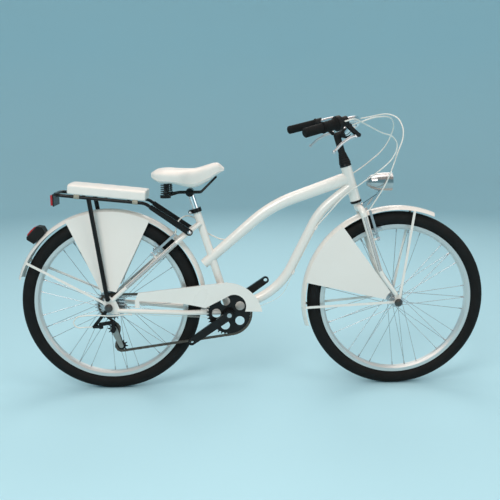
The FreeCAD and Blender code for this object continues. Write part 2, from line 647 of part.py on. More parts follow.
# Fork: steerer, bent crown and tapered blades with flat tips
fork_pieces = []
steerer_top = dim.head_tube_start + dim.head_tube_length + dim.headset_height + dim.boot_height / 2
fork_pieces.append(rod("steerer", dim.steerer_radius, steerer_top - dim.fork_crown,
                       steer(dim.fork_crown), steer_up))
for side_name, side in SIDES:
    crown = steer(dim.fork_crown)
    shoulder = steer(dim.fork_crown, dim.fork_blade_lead, side * dim.fork_spread)
    knee = steer(dim.fork_straight_end, dim.fork_blade_lead, side * dim.fork_spread)
    tip_plane = dim.front_dropout_width / 2 + dim.fork_tip_thickness / 2
    tip = front_axle + V(-dim.fork_tip_lag, side * tip_plane, dim.fork_tip_reach)
    blade = tapered([crown, shoulder, knee, tip], [dim.fork_crown_bend, dim.fork_bend],
                    ring_wire(dim.fork_blade_radius, crown, shoulder - crown),
                    ring_wire(dim.fork_tip_radius, tip, tip - knee))
    fork_pieces.append(feature("fork_blade_" + side_name, blade))
    inner = front_axle + Y * (side * dim.front_dropout_width / 2)
    fork_pieces.append(rod("fork_tip_" + side_name, dim.fork_tip_eye_radius, dim.fork_tip_thickness,
                           inner, Y * side))
    rise = V(-dim.fork_tip_lag, 0, dim.fork_tip_reach)
    across = X * dim.fork_tip_radius
    web = plate([inner - across, inner + across, inner + rise + across, inner + rise - across],
                Y * (side * dim.fork_tip_thickness))
    fork_pieces.append(feature("fork_web_" + side_name, web))
fork_pieces += brake_bosses("front_brake", front_brake, boss_length)
fork_joined = fused("fork_joined", fork_pieces)
front_axle_hole = disc("front_axle_hole", dim.axle_radius, dim.front_dropout_width * 2, front_axle, Y)
quill_base = steer(steerer_top - dim.quill_depth)
quill_bore = rod("quill_bore", dim.quill_radius + dim.running_clearance, dim.quill_depth + dim.overrun,
                 quill_base, steer_up)
node("fork", cut("fork", fork_joined, front_axle_hole, quill_bore))

# Stem with its rubber boot, and the swept bar
stem_level = dim.head_tube_start + dim.head_tube_length + dim.stem_rise
clamp_at = steer(stem_level, dim.stem_reach)
boot_base = dim.head_tube_start + dim.head_tube_length + dim.headset_height + dim.air_gap
boot_bore = dim.steerer_radius + dim.running_clearance
boot = turned("stem_boot", [
    (boot_bore, 0), (dim.headset_radius, 0), (dim.headset_radius, dim.boot_height / 8),
    (dim.boot_top_radius, dim.boot_height), (boot_bore, dim.boot_height)], steer(boot_base), steer_up)
quill = rod("stem_quill", dim.quill_radius, stem_level - steerer_top + dim.quill_depth, quill_base,
            steer_up)
neck_base = boot_base + dim.boot_height
neck = rod("stem_neck", dim.stem_radius, stem_level - neck_base, steer(neck_base), steer_up)
neck_cap = doc.addObject("Part::Sphere", "stem_cap")
bind(neck_cap, "Radius", dim.stem_radius)
place(neck_cap, steer(stem_level))
arm = rod("stem_arm", dim.stem_radius, dim.stem_reach, steer(stem_level), steer_ahead)
clamp = disc("stem_clamp", dim.stem_clamp_radius, dim.stem_clamp_width, clamp_at, Y)
stem_joined = fused("stem_joined", [quill, neck, neck_cap, arm, clamp])
bar_hole = disc("stem_bar_hole", dim.bar_radius, dim.stem_clamp_width * 2, clamp_at, Y)
stem_solid = cut("stem_solid", stem_joined, bar_hole)
node("stem", group("stem", [boot, stem_solid]))


def bar_point(lead, spread, rise):
    return clamp_at + V(lead, spread, rise)


def half_bar(side):
    """The bar from its end to the clamp, on one side."""
    return [bar_point(dim.bar_end_lead, side * dim.bar_end_spread, dim.bar_end_rise),
            bar_point(dim.bar_sweep_lead, side * dim.bar_sweep_spread, dim.bar_sweep_rise),
            bar_point(dim.bar_shoulder_lead, side * dim.bar_shoulder_spread, dim.bar_shoulder_rise),
            bar_point(0, side * dim.bar_straight, 0)]


bar_route = half_bar(-1) + half_bar(1)[::-1]
node("handlebar", swept("handlebar", bar_route, [dim.bar_bend] * (len(bar_route) - 2), dim.bar_radius))


class BarEnd:
    """Directions at one bar end: inward along the bar, and towards the brake lever."""

    def __init__(self, side, roll):
        end, sweep = half_bar(side)[:2]
        self.end = end
        self.inward = (sweep - end).normalize()
        down = (-Z + self.inward * self.inward.z).normalize()
        outside = Y * side
        outside = (outside - self.inward * outside.dot(self.inward)).normalize()
        outside = (outside - down * outside.dot(down)).normalize()
        self.drop = down * cosine(roll) + outside * sine(roll)
        self.pin_axis = self.inward.cross(self.drop)

    def at(self, distance, drop=0):
        return self.end + self.inward * distance + self.drop * drop


bar_ends = {"left": BarEnd(1, dim.lever_roll_left), "right": BarEnd(-1, dim.lever_roll_right)}


def grip(name, bar_end, length):
    """A grip with a closed end, a rounded nose and a thumb flange."""
    cap = dim.grip_cap
    profile = [
        (0, -cap), (dim.grip_radius - cap, -cap), (dim.grip_radius, 0),
        (dim.grip_radius, length - dim.grip_flange),
        (dim.grip_flange_radius, length - dim.grip_flange), (dim.grip_flange_radius, length),
        (dim.bar_radius, length), (dim.bar_radius, 0), (0, 0)]
    return turned(name, profile, bar_end.end, bar_end.inward)


right_grip_length = dim.grip_length - dim.shifter_grip_length - dim.shifter_gap
grips = [grip("grip_left", bar_ends["left"], dim.grip_length),
         grip("grip_right", bar_ends["right"], right_grip_length)]
node("grips", group("grips", grips))

twist_start = right_grip_length + dim.shifter_gap
twist_bore = dim.bar_radius + dim.running_clearance
twist_length = dim.shifter_grip_length
node("shifter_grip", turned("shifter_grip", [
    (twist_bore, 0), (dim.shifter_grip_radius, 0), (dim.shifter_grip_radius, twist_length * 0.8),
    (dim.shifter_case_radius, twist_length), (twist_bore, twist_length)],
    bar_ends["right"].at(twist_start), bar_ends["right"].inward))

case_start = twist_start + twist_length + dim.shifter_gap
shifter_case = turned("shifter_case", [
    (dim.bar_radius, 0), (dim.shifter_case_radius, 0),
    (dim.shifter_case_radius, dim.shifter_case_length * 0.7),
    (dim.lever_clamp_radius, dim.shifter_case_length), (dim.bar_radius, dim.shifter_case_length)],
    bar_ends["right"].at(case_start), bar_ends["right"].inward)
clamp_starts = {"left": dim.grip_length + dim.shifter_gap,
                "right": case_start + dim.shifter_case_length + dim.air_gap}
bracket_pieces = [shifter_case]
lever_pivots = {}
for side_name, side in SIDES:
    bar_end = bar_ends[side_name]
    middle = clamp_starts[side_name] + dim.lever_clamp_length / 2
    ring = disc("lever_clamp_" + side_name, dim.lever_clamp_radius, dim.lever_clamp_length,
                bar_end.at(middle), bar_end.inward)
    pivot = bar_end.at(middle + dim.lever_arm_lead, dim.lever_arm_drop)
    lever_pivots[side_name] = pivot
    cheeks = []
    for cheek_side in (-1, 1):
        offset = bar_end.pin_axis * (cheek_side * (dim.lever_fork_width - dim.lever_cheek) / 2)
        label = "%s_%s" % (side_name, "inner" if cheek_side < 0 else "outer")
        cheeks.append(disc("lever_cheek_" + label, dim.lever_hub_radius, dim.lever_cheek, pivot + offset,
                           bar_end.pin_axis))
        web_side = bar_end.inward * dim.lever_hub_radius
        web_start = bar_end.at(middle) + offset - bar_end.pin_axis * (dim.lever_cheek / 2)
        web_end = pivot + offset - bar_end.pin_axis * (dim.lever_cheek / 2)
        web = plate([web_start - web_side, web_start + web_side, web_end + web_side, web_end - web_side],
                    bar_end.pin_axis * dim.lever_cheek)
        cheeks.append(feature("lever_web_" + label, web))
    pin = disc("lever_pin_" + side_name, dim.lever_pin_radius, dim.lever_fork_width, pivot,
               bar_end.pin_axis)
    barrel_at = bar_end.at(middle + dim.lever_clamp_length / 2, dim.lever_clamp_radius)
    barrel = rod("cable_barrel_" + side_name, dim.housing_radius * 2, dim.lever_barrel, barrel_at,
                 bar_end.inward)
    joined = fused("lever_bracket_joined_" + side_name, [ring, pin, barrel] + cheeks)
    bore = disc("lever_clamp_bore_" + side_name, dim.bar_radius, dim.lever_clamp_length * 2,
                bar_end.at(middle), bar_end.inward)
    bracket_pieces.append(cut("lever_bracket_" + side_name, joined, bore))
node("lever_brackets", group("lever_brackets", bracket_pieces))

# The blade leaves its pivot along the bar and then curves down and away from the grip
blade_shares = [(0, 0), (0.33, 0.06), (0.68, 0.42), (1, 1)]
for side_name, side in SIDES:
    bar_end = bar_ends[side_name]
    pivot = lever_pivots[side_name]
    room = dim.lever_fork_width - dim.lever_cheek * 2 - dim.air_gap * 2
    lever_hub = disc("lever_hub_" + side_name, dim.lever_hub_radius, room, pivot, bar_end.pin_axis)
    back = -bar_end.inward
    blade_route = [pivot + back * (dim.lever_length * along) + bar_end.drop * (dim.lever_fall * down)
                   for along, down in blade_shares]
    root, waist, shoulder, tip = blade_route
    bends = [dim.lever_length * 0.4, dim.lever_length * 0.4]
    blade = tapered(blade_route, bends, ring_wire(dim.lever_thickness, root, waist - root),
                    ring_wire(dim.lever_thickness * 0.75, tip, tip - shoulder))
    ball = doc.addObject("Part::Sphere", "lever_ball_" + side_name)
    bind(ball, "Radius", dim.lever_thickness)
    place(ball, tip)
    cheek_room = [disc("lever_room_%s_%d" % (side_name, sign), dim.lever_hub_radius * 2,
                       dim.lever_fork_width,
                       pivot + bar_end.pin_axis * (sign * (room + dim.lever_fork_width) / 2),
                       bar_end.pin_axis)
                  for sign in (-1, 1)]
    blade_item = feature("lever_blade_" + side_name, blade)
    pin_bore = disc("lever_pin_bore_" + side_name, dim.lever_pin_radius + dim.running_clearance,
                    dim.lever_fork_width * 2, pivot, bar_end.pin_axis)
    joined = fused("lever_joined_" + side_name, [lever_hub, blade_item, ball])
    node("brake_lever_" + side_name, cut("brake_lever_" + side_name, joined, pin_bore, *cheek_room))

# Mudguards: a curved strip spun part of the way round its wheel, with wire stays


def spun_strip(name, axle, edges, angle, sweep):
    """A thin section in the plane of the axle, carried round it from one angle."""
    section = feature(name + "_section", Part.Face(Part.Wire(edges)))
    strip = doc.addObject("Part::Revolution", name)
    strip.Source = section
    strip.Base = axle
    strip.Axis = -Y
    bind(strip, "Angle", sweep)
    strip.Solid = True
    return strip


def mudguard_strip(name, axle, angle, sweep):
    half = dim.mudguard_width / 2
    low = dim.mudguard_radius - dim.mudguard_drop
    thin = dim.mudguard_thickness
    outer = [round_wheel(axle, low, angle, -half), round_wheel(axle, dim.mudguard_radius, angle, 0),
             round_wheel(axle, low, angle, half)]
    inner = [round_wheel(axle, low, angle, half - thin),
             round_wheel(axle, dim.mudguard_radius - thin, angle, 0),
             round_wheel(axle, low, angle, thin - half)]
    edges = [arc(*outer), line(outer[2], inner[0]), arc(*inner), line(inner[2], outer[0])]
    return spun_strip(name, axle, edges, angle, sweep)


def mudguard_stay(name, axle, angle, eye_plane, eye_reach, side):
    """A flat strip from the mudguard's edge to an eye by the axle."""
    half = dim.mudguard_width / 2 + dim.stay_thickness / 2 + dim.coat_gap
    top = round_wheel(axle, dim.mudguard_radius - dim.mudguard_drop, angle, side * half)
    middle = axle + V(eye_reach[0], side * eye_plane, eye_reach[1])
    foot = middle + Y * (side * dim.stay_thickness / 4)
    across = (top - foot).cross(Y).normalize() * (dim.stay_width / 2)
    away = Y * dim.stay_thickness
    strip = plate([top - across - away / 2, top + across - away / 2, foot + across - away / 2,
                   foot - across - away / 2], away)
    eye = rod(name + "_eye", dim.stay_eye_radius, dim.stay_eye_thickness,
              middle - Y * (dim.stay_eye_thickness / 2), Y)
    return fused(name, [feature(name + "_strip", strip), eye])


rear_strip = mudguard_strip("rear_mudguard_blade", rear_axle, dim.rear_mudguard_front_angle,
                            dim.rear_mudguard_sweep)
front_strip = mudguard_strip("front_mudguard_blade", front_axle, dim.front_mudguard_front_angle,
                             dim.front_mudguard_sweep)
rear_guard_pieces = [rear_strip]
front_guard_pieces = [front_strip]
rear_eye_plane = rear_half + dim.dropout_thickness + dim.stay_eye_thickness / 2
front_eye_plane = dim.front_dropout_width / 2 + dim.fork_tip_thickness + dim.stay_eye_thickness / 2
for side_name, side in SIDES:
    stay = mudguard_stay("rear_stay_" + side_name, rear_axle, dim.rear_stay_angle, rear_eye_plane,
                         (-dim.stay_eye_reach, dim.stay_eye_rise), side)
    rear_guard_pieces.append(stay)
    for order, angle in enumerate((dim.front_rear_stay_angle, dim.front_stay_angle)):
        label = "%s_%d" % (side_name, order)
        plane = front_eye_plane + order * dim.stay_eye_thickness
        eye_reach = (dim.stay_lead * order, 0)
        stay = mudguard_stay("front_stay_" + label, front_axle, angle, plane, eye_reach, side)
        hole = disc("front_stay_hole_" + label, dim.axle_radius, dim.front_dropout_width * 2, front_axle, Y)
        front_guard_pieces.append(cut("front_stay_holed_" + label, stay, hole))
node("rear_mudguard", group("rear_mudguard", rear_guard_pieces))
node("front_mudguard", group("front_mudguard", front_guard_pieces))


def coat_guard(name, axle, front_angle, rear_angle, bottom_radius, bottom_spread, side):
    """A skirt plate that fans out from near the axle to the mudguard's edge."""
    top_radius = dim.mudguard_radius - dim.coat_top_drop
    low = dim.mudguard_radius - dim.mudguard_drop
    edge_spread = dim.mudguard_width / 2 + dim.coat_gap
    slant = (bottom_spread - edge_spread) / (low - bottom_radius)
    top_spread = edge_spread - (top_radius - low) * slant
    thick = dim.coat_thickness
    corners = [round_wheel(axle, bottom_radius, front_angle, side * bottom_spread),
               round_wheel(axle, top_radius, front_angle, side * top_spread),
               round_wheel(axle, top_radius, front_angle, side * (top_spread + thick)),
               round_wheel(axle, bottom_radius, front_angle, side * (bottom_spread + thick))]
    edges = [line(corners[index], corners[(index + 1) % 4]) for index in range(4)]
    return spun_strip(name, axle, edges, front_angle, rear_angle - front_angle)


for wheel, axle, front_angle, rear_angle, bottom, spread in (
        ("rear", rear_axle, dim.rear_coat_top_front, dim.rear_coat_top_rear, dim.rear_coat_bottom_radius,
         dim.rear_coat_bottom_spread),
        ("front", front_axle, dim.front_coat_top_front, dim.front_coat_top_rear,
         dim.front_coat_bottom_radius,
         dim.front_coat_bottom_spread)):
    pair = [coat_guard("%s_coat_guard_%s" % (wheel, side_name), axle, front_angle, rear_angle, bottom,
                       spread, side)
            for side_name, side in SIDES]
    node(wheel + "_coat_guards", group(wheel + "_coat_guards", pair))

# Chain loop: pins are walked along the pitch line one link at a time


pitch = float(dim.chain_pitch)


def pitch_radius(teeth):
    return pitch / (2 * math.sin(math.pi / teeth))


ring_radius = pitch_radius(dim.ring_teeth)
cog_radius = pitch_radius(dim.cog_teeth)
pulley_radius = pitch_radius(dim.pulley_teeth)
guide_centre = bike(dim.guide_pulley_reach, 0, dim.guide_pulley_height)


def tension_centre(cage_angle):
    return guide_centre + V(dim.cage_length * cosine(cage_angle), 0, dim.cage_length * sine(cage_angle))


class ChainLoop:
    """The pitch line: tangents and arcs round ring, tension pulley, guide pulley and cog."""

    def __init__(self, cage_angle):
        rounds = [(bb, ring_radius, -1), (tension_centre(cage_angle), pulley_radius, -1),
                  (guide_centre, pulley_radius, 1), (rear_axle, cog_radius, -1)]
        entries = {}
        exits = {}
        count = len(rounds)
        for index in range(count):
            after = (index + 1) % count
            centre, radius, turn = rounds[index]
            centre_after, radius_after, turn_after = rounds[after]
            gap = centre_after - centre
            gap_left = V(-gap.z, 0, gap.x)
            offset = turn_after * radius_after - turn * radius
            run = math.sqrt(gap.Length ** 2 - offset ** 2)
            left = (gap_left * run + gap * offset) * (1 / gap.Length ** 2)
            exits[index] = centre - left * (turn * radius)
            entries[after] = centre_after - left * (turn_after * radius_after)
        self.spans = []
        self.arc_middles = []
        for index, (centre, radius, turn) in enumerate(rounds):
            first = math.atan2(entries[index].z - centre.z, entries[index].x - centre.x)
            last = math.atan2(exits[index].z - centre.z, exits[index].x - centre.x)
            angle = (last - first) * turn % (2 * math.pi)
            start = self.length()
            self.spans.append(("arc", angle * radius, centre, radius, first, turn))
            self.arc_middles.append((start, start + angle * radius))
            after = (index + 1) % count
            run = entries[after] - exits[index]
            self.spans.append(("line", run.Length, exits[index], run * (1 / run.Length)))

    def length(self):
        return sum(span[1] for span in self.spans)

    def at(self, distance):
        distance = distance % self.length()
        for span in self.spans:
            if distance <= span[1]:
                break
            distance -= span[1]
        if span[0] == "line":
            return span[2] + span[3] * distance
        angle = span[4] + span[5] * distance / span[3]
        return span[2] + V(math.cos(angle), 0, math.sin(angle)) * span[3]

    def next_pin(self, distance):
        """The place one link further on, by halving."""
        here = self.at(distance)
        low = pitch * 0.9
        high = pitch * 1.2
        for step in range(40):
            middle = (low + high) / 2
            if (self.at(distance + middle) - here).Length < pitch:
                low = middle
            else:
                high = middle
        return distance + low

    def walk(self, links):
        places = [0.0]
        for link in range(links):
            places.append(self.next_pin(places[-1]))
        return places


def spare(cage_angle, links):
    """How far the walk of so many links goes past a whole turn of the loop."""
    loop = ChainLoop(cage_angle)
    return loop.walk(links)[-1] - loop.length()


nominal = ChainLoop(dim.cage_angle)
link_count = 2 * round(nominal.length() / pitch / 2)
low_angle = float(dim.cage_angle - dim.cage_swing)
high_angle = float(dim.cage_angle + dim.cage_swing)
low_sign = spare(low_angle, link_count) > 0
for step in range(34):
    cage_angle = (low_angle + high_angle) / 2
    if (spare(cage_angle, link_count) > 0) == low_sign:
        low_angle = cage_angle
    else:
        high_angle = cage_angle
chain_loop = ChainLoop(cage_angle)
pin_places = chain_loop.walk(link_count)[:-1]
pins = [chain_loop.at(distance) for distance in pin_places]
tension_at = tension_centre(cage_angle)
print("chain: %d links, cage at %.2f degrees, %.4f left over" % (link_count, cage_angle,
                                                                 spare(cage_angle, link_count)))


def pin_phase(index, centre):
    """The angle of a pin that sits in the middle of a sprocket's arc."""
    first, last = chain_loop.arc_middles[index]
    seated = min(pin_places, key=lambda distance: abs(distance - (first + last) / 2))
    spot = chain_loop.at(seated) - centre
    return math.atan2(spot.z, spot.x)


chain_plane = -Y * dim.chain_line


def link_plate(first, last, inner, outer):
    """One side plate between two pins, with chamfered ends."""
    along = (last - first).normalize()
    up = along.cross(Y)
    corner_shares = [(-1, -0.42), (-0.42, -1), (0.42, -1), (1, -0.42)]
    points = [first + (along * a + up * b) * dim.link_height for a, b in corner_shares[:2]]
    points += [last + (along * a + up * b) * dim.link_height for a, b in corner_shares[2:]]
    points += [last + (along * a - up * b) * dim.link_height for a, b in corner_shares[:1:-1]]
    points += [first + (along * a - up * b) * dim.link_height for a, b in corner_shares[1::-1]]
    return plate([point + chain_plane + Y * inner for point in points], Y * (outer - inner))


def roller(pin, along):
    """A six-sided roller, point on along the run."""
    up = along.cross(Y)
    turns = [step * math.pi / 3 for step in range(6)]
    points = [pin + (along * math.cos(turn) + up * math.sin(turn)) * dim.roller_radius for turn in turns]
    half = dim.roller_half_width
    return plate([point + chain_plane - Y * half for point in points], Y * (half * 2))


links = []
inner_start = dim.roller_half_width
inner_end = inner_start + dim.link_plate
outer_start = inner_end + dim.link_gap
outer_end = outer_start + dim.link_plate
for index, pin in enumerate(pins):
    after = pins[(index + 1) % link_count]
    along = (after - pin).normalize()
    start, end = (inner_start, inner_end) if index % 2 else (outer_start, outer_end)
    pair = [link_plate(pin, after, start, end), link_plate(pin, after, -end, -start)]
    if index % 2:
        pair += [roller(pin, along), roller(after, along)]
    links += pair
chain = node("chain", feature("chain", Part.makeCompound(links)))


def toothed(teeth, centre, phase, plane, bore, thickness):
    """A sprocket blank: teeth with sloping flanks round a bored disc."""
    radius = pitch_radius(teeth)
    step = 2 * math.pi / teeth
    root = radius - dim.tooth_root_drop
    tip = radius + dim.tooth_tip_rise
    points = []
    for index in range(int(teeth)):
        seat = phase + index * step
        for reach, angle in ((root, -dim.tooth_root_half / root), (root, dim.tooth_root_half / root),
                             (radius, dim.tooth_pitch_half / radius),
                             (tip, step / 2 - dim.tooth_tip_half / tip),
                             (tip, step / 2 + dim.tooth_tip_half / tip),
                             (radius, step - dim.tooth_pitch_half / radius)):
            points.append(centre + V(reach * math.cos(seat + angle), 0, reach * math.sin(seat + angle)))
    base = Y * (plane - thickness / 2)
    blank = plate([point + base for point in points], Y * thickness)
    return blank.cut(Part.makeCylinder(bore, thickness, centre + base, Y))


ring = toothed(dim.ring_teeth, bb, pin_phase(0, bb), -dim.chain_line, dim.crank_boss_radius,
               dim.sprocket_thickness)
ring_base = bb - Y * (dim.chain_line + dim.sprocket_thickness)
for index in range(5):
    spot = round_wheel(ring_base, dim.spider_hole_circle, dim.crank_angle + 36 + index * 72, 0)
    ring = ring.cut(Part.makeCylinder(dim.spider_hole_radius, dim.sprocket_thickness * 2, spot, Y))
node("chainring", feature("chainring", ring))

cog_steps = (14, 16, 18, dim.cog_teeth, 22, 24, 28)
freewheel = []
freewheel_bore = dim.cone_radius + dim.running_clearance
middle_index = cog_steps.index(dim.cog_teeth)
cog_phase = pin_phase(3, rear_axle)
for index, teeth in enumerate(cog_steps):
    plane = -dim.chain_line - (middle_index - index) * dim.cog_spacing
    freewheel.append(toothed(teeth, rear_axle, cog_phase, plane, freewheel_bore, dim.sprocket_thickness))
body_length = dim.cog_spacing * (len(cog_steps) - 1)
body_start = rear_axle - Y * (dim.chain_line + dim.cog_spacing * middle_index)
body = Part.makeCylinder(dim.freewheel_radius, body_length, body_start, Y)
body = body.cut(Part.makeCylinder(freewheel_bore, body_length, body_start, Y))
node("freewheel_cogs", feature("freewheel_cogs", body.multiFuse(freewheel).removeSplitter()))

# Cranks


def crank_arm(name, side, angle):
    """A tapered arm from its boss on the spindle to the threaded pedal eye."""
    outer = side * (dim.crank_inner + dim.crank_thickness)
    inner = side * dim.crank_inner
    eye = bb + V(dim.crank_length * cosine(angle), 0, dim.crank_length * sine(angle))
    along = (eye - bb).normalize()
    up = along.cross(Y)
    root_half = up * (dim.crank_root_width / 2)
    eye_half = up * (dim.crank_eye_width / 2)
    away = Y * (outer - inner)
    arm_shape = plate([bb + Y * inner - root_half, eye + Y * inner - eye_half, eye + Y * inner + eye_half,
                       bb + Y * inner + root_half], away)
    root_disc = Part.makeCylinder(dim.crank_root_width / 2, dim.crank_thickness, bb + Y * inner, Y * side)
    eye_disc = Part.makeCylinder(dim.crank_eye_width / 2, dim.crank_thickness, eye + Y * inner, Y * side)
    boss_start = side * (dim.chain_line - dim.sprocket_thickness)
    boss = Part.makeCylinder(dim.crank_boss_radius, dim.crank_inner - abs(boss_start),
                             bb + Y * boss_start, Y * side)
    joined = arm_shape.multiFuse([root_disc, eye_disc, boss])
    reach = dim.crank_inner + dim.crank_thickness + dim.overrun
    hole = Part.makeCylinder(dim.spindle_radius, reach, bb, Y * side)
    thread = Part.makeCylinder(dim.pedal_thread_radius, reach, eye, Y * side)
    return feature(name, joined.cut(hole).cut(thread))


arms = [crank_arm("crank_right", -1, dim.crank_angle), crank_arm("crank_left", 1, dim.crank_angle + 180)]
node("crank_arms", group("crank_arms", arms))
spindle_length = (dim.crank_inner + dim.crank_thickness) * 2
node("crank_spindle", disc("crank_spindle", dim.spindle_radius, spindle_length, bb, Y))

# Rear derailleur: hanger, swinging link, knuckle, cage and two toothed pulleys
hanger_face = -(rear_half + dim.dropout_thickness)
hanger_pin = bike(dim.hanger_reach, -dim.hanger_outboard, dim.hanger_height)
knuckle_pin = bike(dim.guide_pulley_reach, -dim.knuckle_outboard, dim.hanger_height)
half_block = dim.link_block_height / 2
axle_face = V(rear_axle.x, hanger_face, rear_axle.z)
hanger_low = bike(dim.hanger_plate_reach, hanger_face, dim.hanger_height - half_block)
hanger_slant = (hanger_low - axle_face).normalize()
hanger_side = hanger_slant.cross(Y) * (dim.hanger_plate_width / 2)
hanger_plate = plate([axle_face - hanger_side, axle_face + hanger_side, hanger_low + hanger_side,
                      hanger_low - hanger_side], -Y * dim.hanger_thickness)
hanger_eye = rod("hanger_eye", dim.fork_tip_eye_radius, dim.hanger_thickness, axle_face, -Y)
foot_corner = V(hanger_low.x, hanger_pin.y, hanger_pin.z - half_block)
hanger_foot = feature("hanger_foot", Part.makeBox(
    hanger_pin.x - hanger_low.x, hanger_face - hanger_pin.y, half_block - dim.air_gap / 2, foot_corner))
hanger_round = rod("hanger_round", dim.link_pin_block, half_block - dim.air_gap / 2,
                   hanger_pin - Z * half_block, Z)
hanger_post = rod("hanger_post", dim.link_pin_radius, dim.link_block_height, hanger_pin - Z * half_block, Z)
hanger_joined = fused("hanger_joined", [feature("hanger_plate", hanger_plate), hanger_eye, hanger_foot,
                                        hanger_round,
                                        hanger_post])
node("derailleur_bracket", cut("derailleur_bracket", hanger_joined, axle_hole))

link_dir = (knuckle_pin - hanger_pin).normalize()
link_side = link_dir.cross(Z) * dim.link_pin_block
link_floor = Z * (dim.air_gap / 2)
link_height = half_block - dim.air_gap / 2
link_plate_solid = plate([hanger_pin + link_floor - link_side, hanger_pin + link_floor + link_side,
                          knuckle_pin + link_floor + link_side, knuckle_pin + link_floor - link_side],
                          Z * link_height)
link_eyes = [rod("link_eye_%d" % index, dim.link_pin_block, link_height, pin + link_floor, Z)
             for index, pin in enumerate((hanger_pin, knuckle_pin))]
link_joined = fused("link_joined", [feature("link_bar", link_plate_solid)] + link_eyes)
link_bores = [rod("link_bore_%d" % index, dim.link_pin_radius + dim.running_clearance,
                  dim.link_block_height, pin, Z)
              for index, pin in enumerate((hanger_pin, knuckle_pin))]
node("derailleur_link", cut("derailleur_link", link_joined, *link_bores))

guide_at = guide_centre - Y * dim.chain_line
cage_outer = -(dim.chain_line + dim.cage_half_width + dim.cage_plate)
cage_inner = -(dim.chain_line - dim.cage_half_width - dim.cage_plate)
knuckle_top = rod("knuckle_top", dim.link_pin_block * 0.9,
                  dim.hanger_height - dim.guide_pulley_height - dim.air_gap / 2,
                  V(knuckle_pin.x, knuckle_pin.y, guide_at.z), Z)
knuckle_post = rod("knuckle_post", dim.link_pin_radius, half_block + dim.air_gap,
                   knuckle_pin - Z * dim.air_gap, Z)
barrel_start = V(guide_at.x, -dim.knuckle_outboard - dim.link_pin_block * 1.2, guide_at.z)
barrel_end = cage_outer - dim.air_gap
knuckle_barrel = rod("knuckle_barrel", dim.knuckle_radius, barrel_end - barrel_start.y, barrel_start, Y)
knuckle_bolt = rod("knuckle_bolt", dim.pulley_bolt_radius, cage_inner - barrel_start.y, barrel_start, Y)
node("derailleur_knuckle", fused("derailleur_knuckle",
                                 [knuckle_top, knuckle_post, knuckle_barrel, knuckle_bolt]))

tension_pin = tension_at - Y * dim.chain_line
cage_dir = (tension_at - guide_centre).normalize()
cage_side = cage_dir.cross(Y) * dim.cage_radius
cage_pieces = []
for label, start in (("outer", cage_outer), ("inner", cage_inner - dim.cage_plate)):
    first = V(guide_at.x, start, guide_at.z)
    last = V(tension_pin.x, start, tension_pin.z)
    cage_pieces.append(feature("cage_bar_" + label, plate(
        [first - cage_side, first + cage_side, last + cage_side * 0.6, last - cage_side * 0.6],
        Y * dim.cage_plate)))
    cage_pieces.append(rod("cage_top_" + label, dim.cage_radius, dim.cage_plate, first, Y))
    cage_pieces.append(rod("cage_foot_" + label, dim.cage_radius * 0.6, dim.cage_plate, last, Y))
tension_bolt = rod("tension_bolt", dim.pulley_bolt_radius, cage_inner - cage_outer,
                   V(tension_pin.x, cage_outer, tension_pin.z), Y)
guide_bore = disc("cage_bore", dim.pulley_bolt_radius + dim.running_clearance, dim.chain_line, guide_at, Y)
cage_joined = fused("cage_joined", cage_pieces + [tension_bolt])
node("derailleur_cage", cut("derailleur_cage", cage_joined, guide_bore))
pulley_bore = dim.pulley_bolt_radius + dim.running_clearance
for name, centre, order in (("guide_pulley", guide_centre, 2), ("tension_pulley", tension_at, 1)):
    pulley = toothed(dim.pulley_teeth, centre, pin_phase(order, centre), -dim.chain_line, pulley_bore,
                     dim.sprocket_thickness)
    hub_half = dim.cage_half_width - dim.air_gap
    collar = Part.makeCylinder(dim.pulley_bolt_radius * 2, hub_half * 2,
                               centre - Y * (dim.chain_line + hub_half), Y)
    bore = Part.makeCylinder(pulley_bore, hub_half * 2, centre - Y * (dim.chain_line + hub_half), Y)
    node(name, feature(name, pulley.fuse(collar).cut(bore)))

# Chain guard: a pressed plate with a turned-in upper edge, a rear tab and a front peg
guard_base = dim.guard_nose_height
guard_length = dim.guard_nose_reach - dim.guard_rear
guard_height = dim.guard_top - guard_base
guard_shares = {
    "rear_low": (0, 0.43), "rear_top": (0.026, 0.694), "crest": (0.728, 1.0), "brow": (0.92, 0.64),
    "nose": (1.0, 0.0), "bite_end": (0.862, 0.018), "bite_top": (0.832, 0.52), "bite_start": (0.75, 0.577),
    "dip": (0.55, 0.153), "belly": (0.377, 0.306), "heel": (0.2, 0.378),
}
guard_at = {name: bike(dim.guard_rear + guard_length * along, -dim.guard_offset,
                       guard_base + guard_height * up)
            for name, (along, up) in guard_shares.items()}
guard_edges = [
    line(guard_at["rear_low"], guard_at["rear_top"]), line(guard_at["rear_top"], guard_at["crest"]),
    arc(guard_at["crest"], guard_at["brow"], guard_at["nose"]),
    line(guard_at["nose"], guard_at["bite_end"]),
    arc(guard_at["bite_end"], guard_at["bite_top"], guard_at["bite_start"]),
    line(guard_at["bite_start"], guard_at["dip"]),
    arc(guard_at["dip"], guard_at["belly"], guard_at["heel"]),
    line(guard_at["heel"], guard_at["rear_low"])]
guard_plate = plate(guard_edges, -Y * dim.guard_thickness)
lip_width = Z * dim.guard_thickness
lip_edges = [line(guard_at["rear_top"], guard_at["crest"]),
             line(guard_at["crest"], guard_at["crest"] - lip_width),
             line(guard_at["crest"] - lip_width, guard_at["rear_top"] - lip_width),
             line(guard_at["rear_top"] - lip_width, guard_at["rear_top"])]
guard_lip = plate(lip_edges, Y * dim.guard_lip)
peg_height = guard_base + guard_height * 0.87
peg_reach = bb.x - (peg_height - bb.z) / math.tan(math.radians(dim.seat_angle))
guard_peg = Part.makeCylinder(dim.guard_bracket_radius,
                              dim.guard_offset - dim.seat_tube_radius - dim.air_gap,
                              V(peg_reach, -dim.guard_offset, peg_height), Y)
tab_left = guard_at["rear_low"]
tab_reach = X * (guard_length * 0.035)
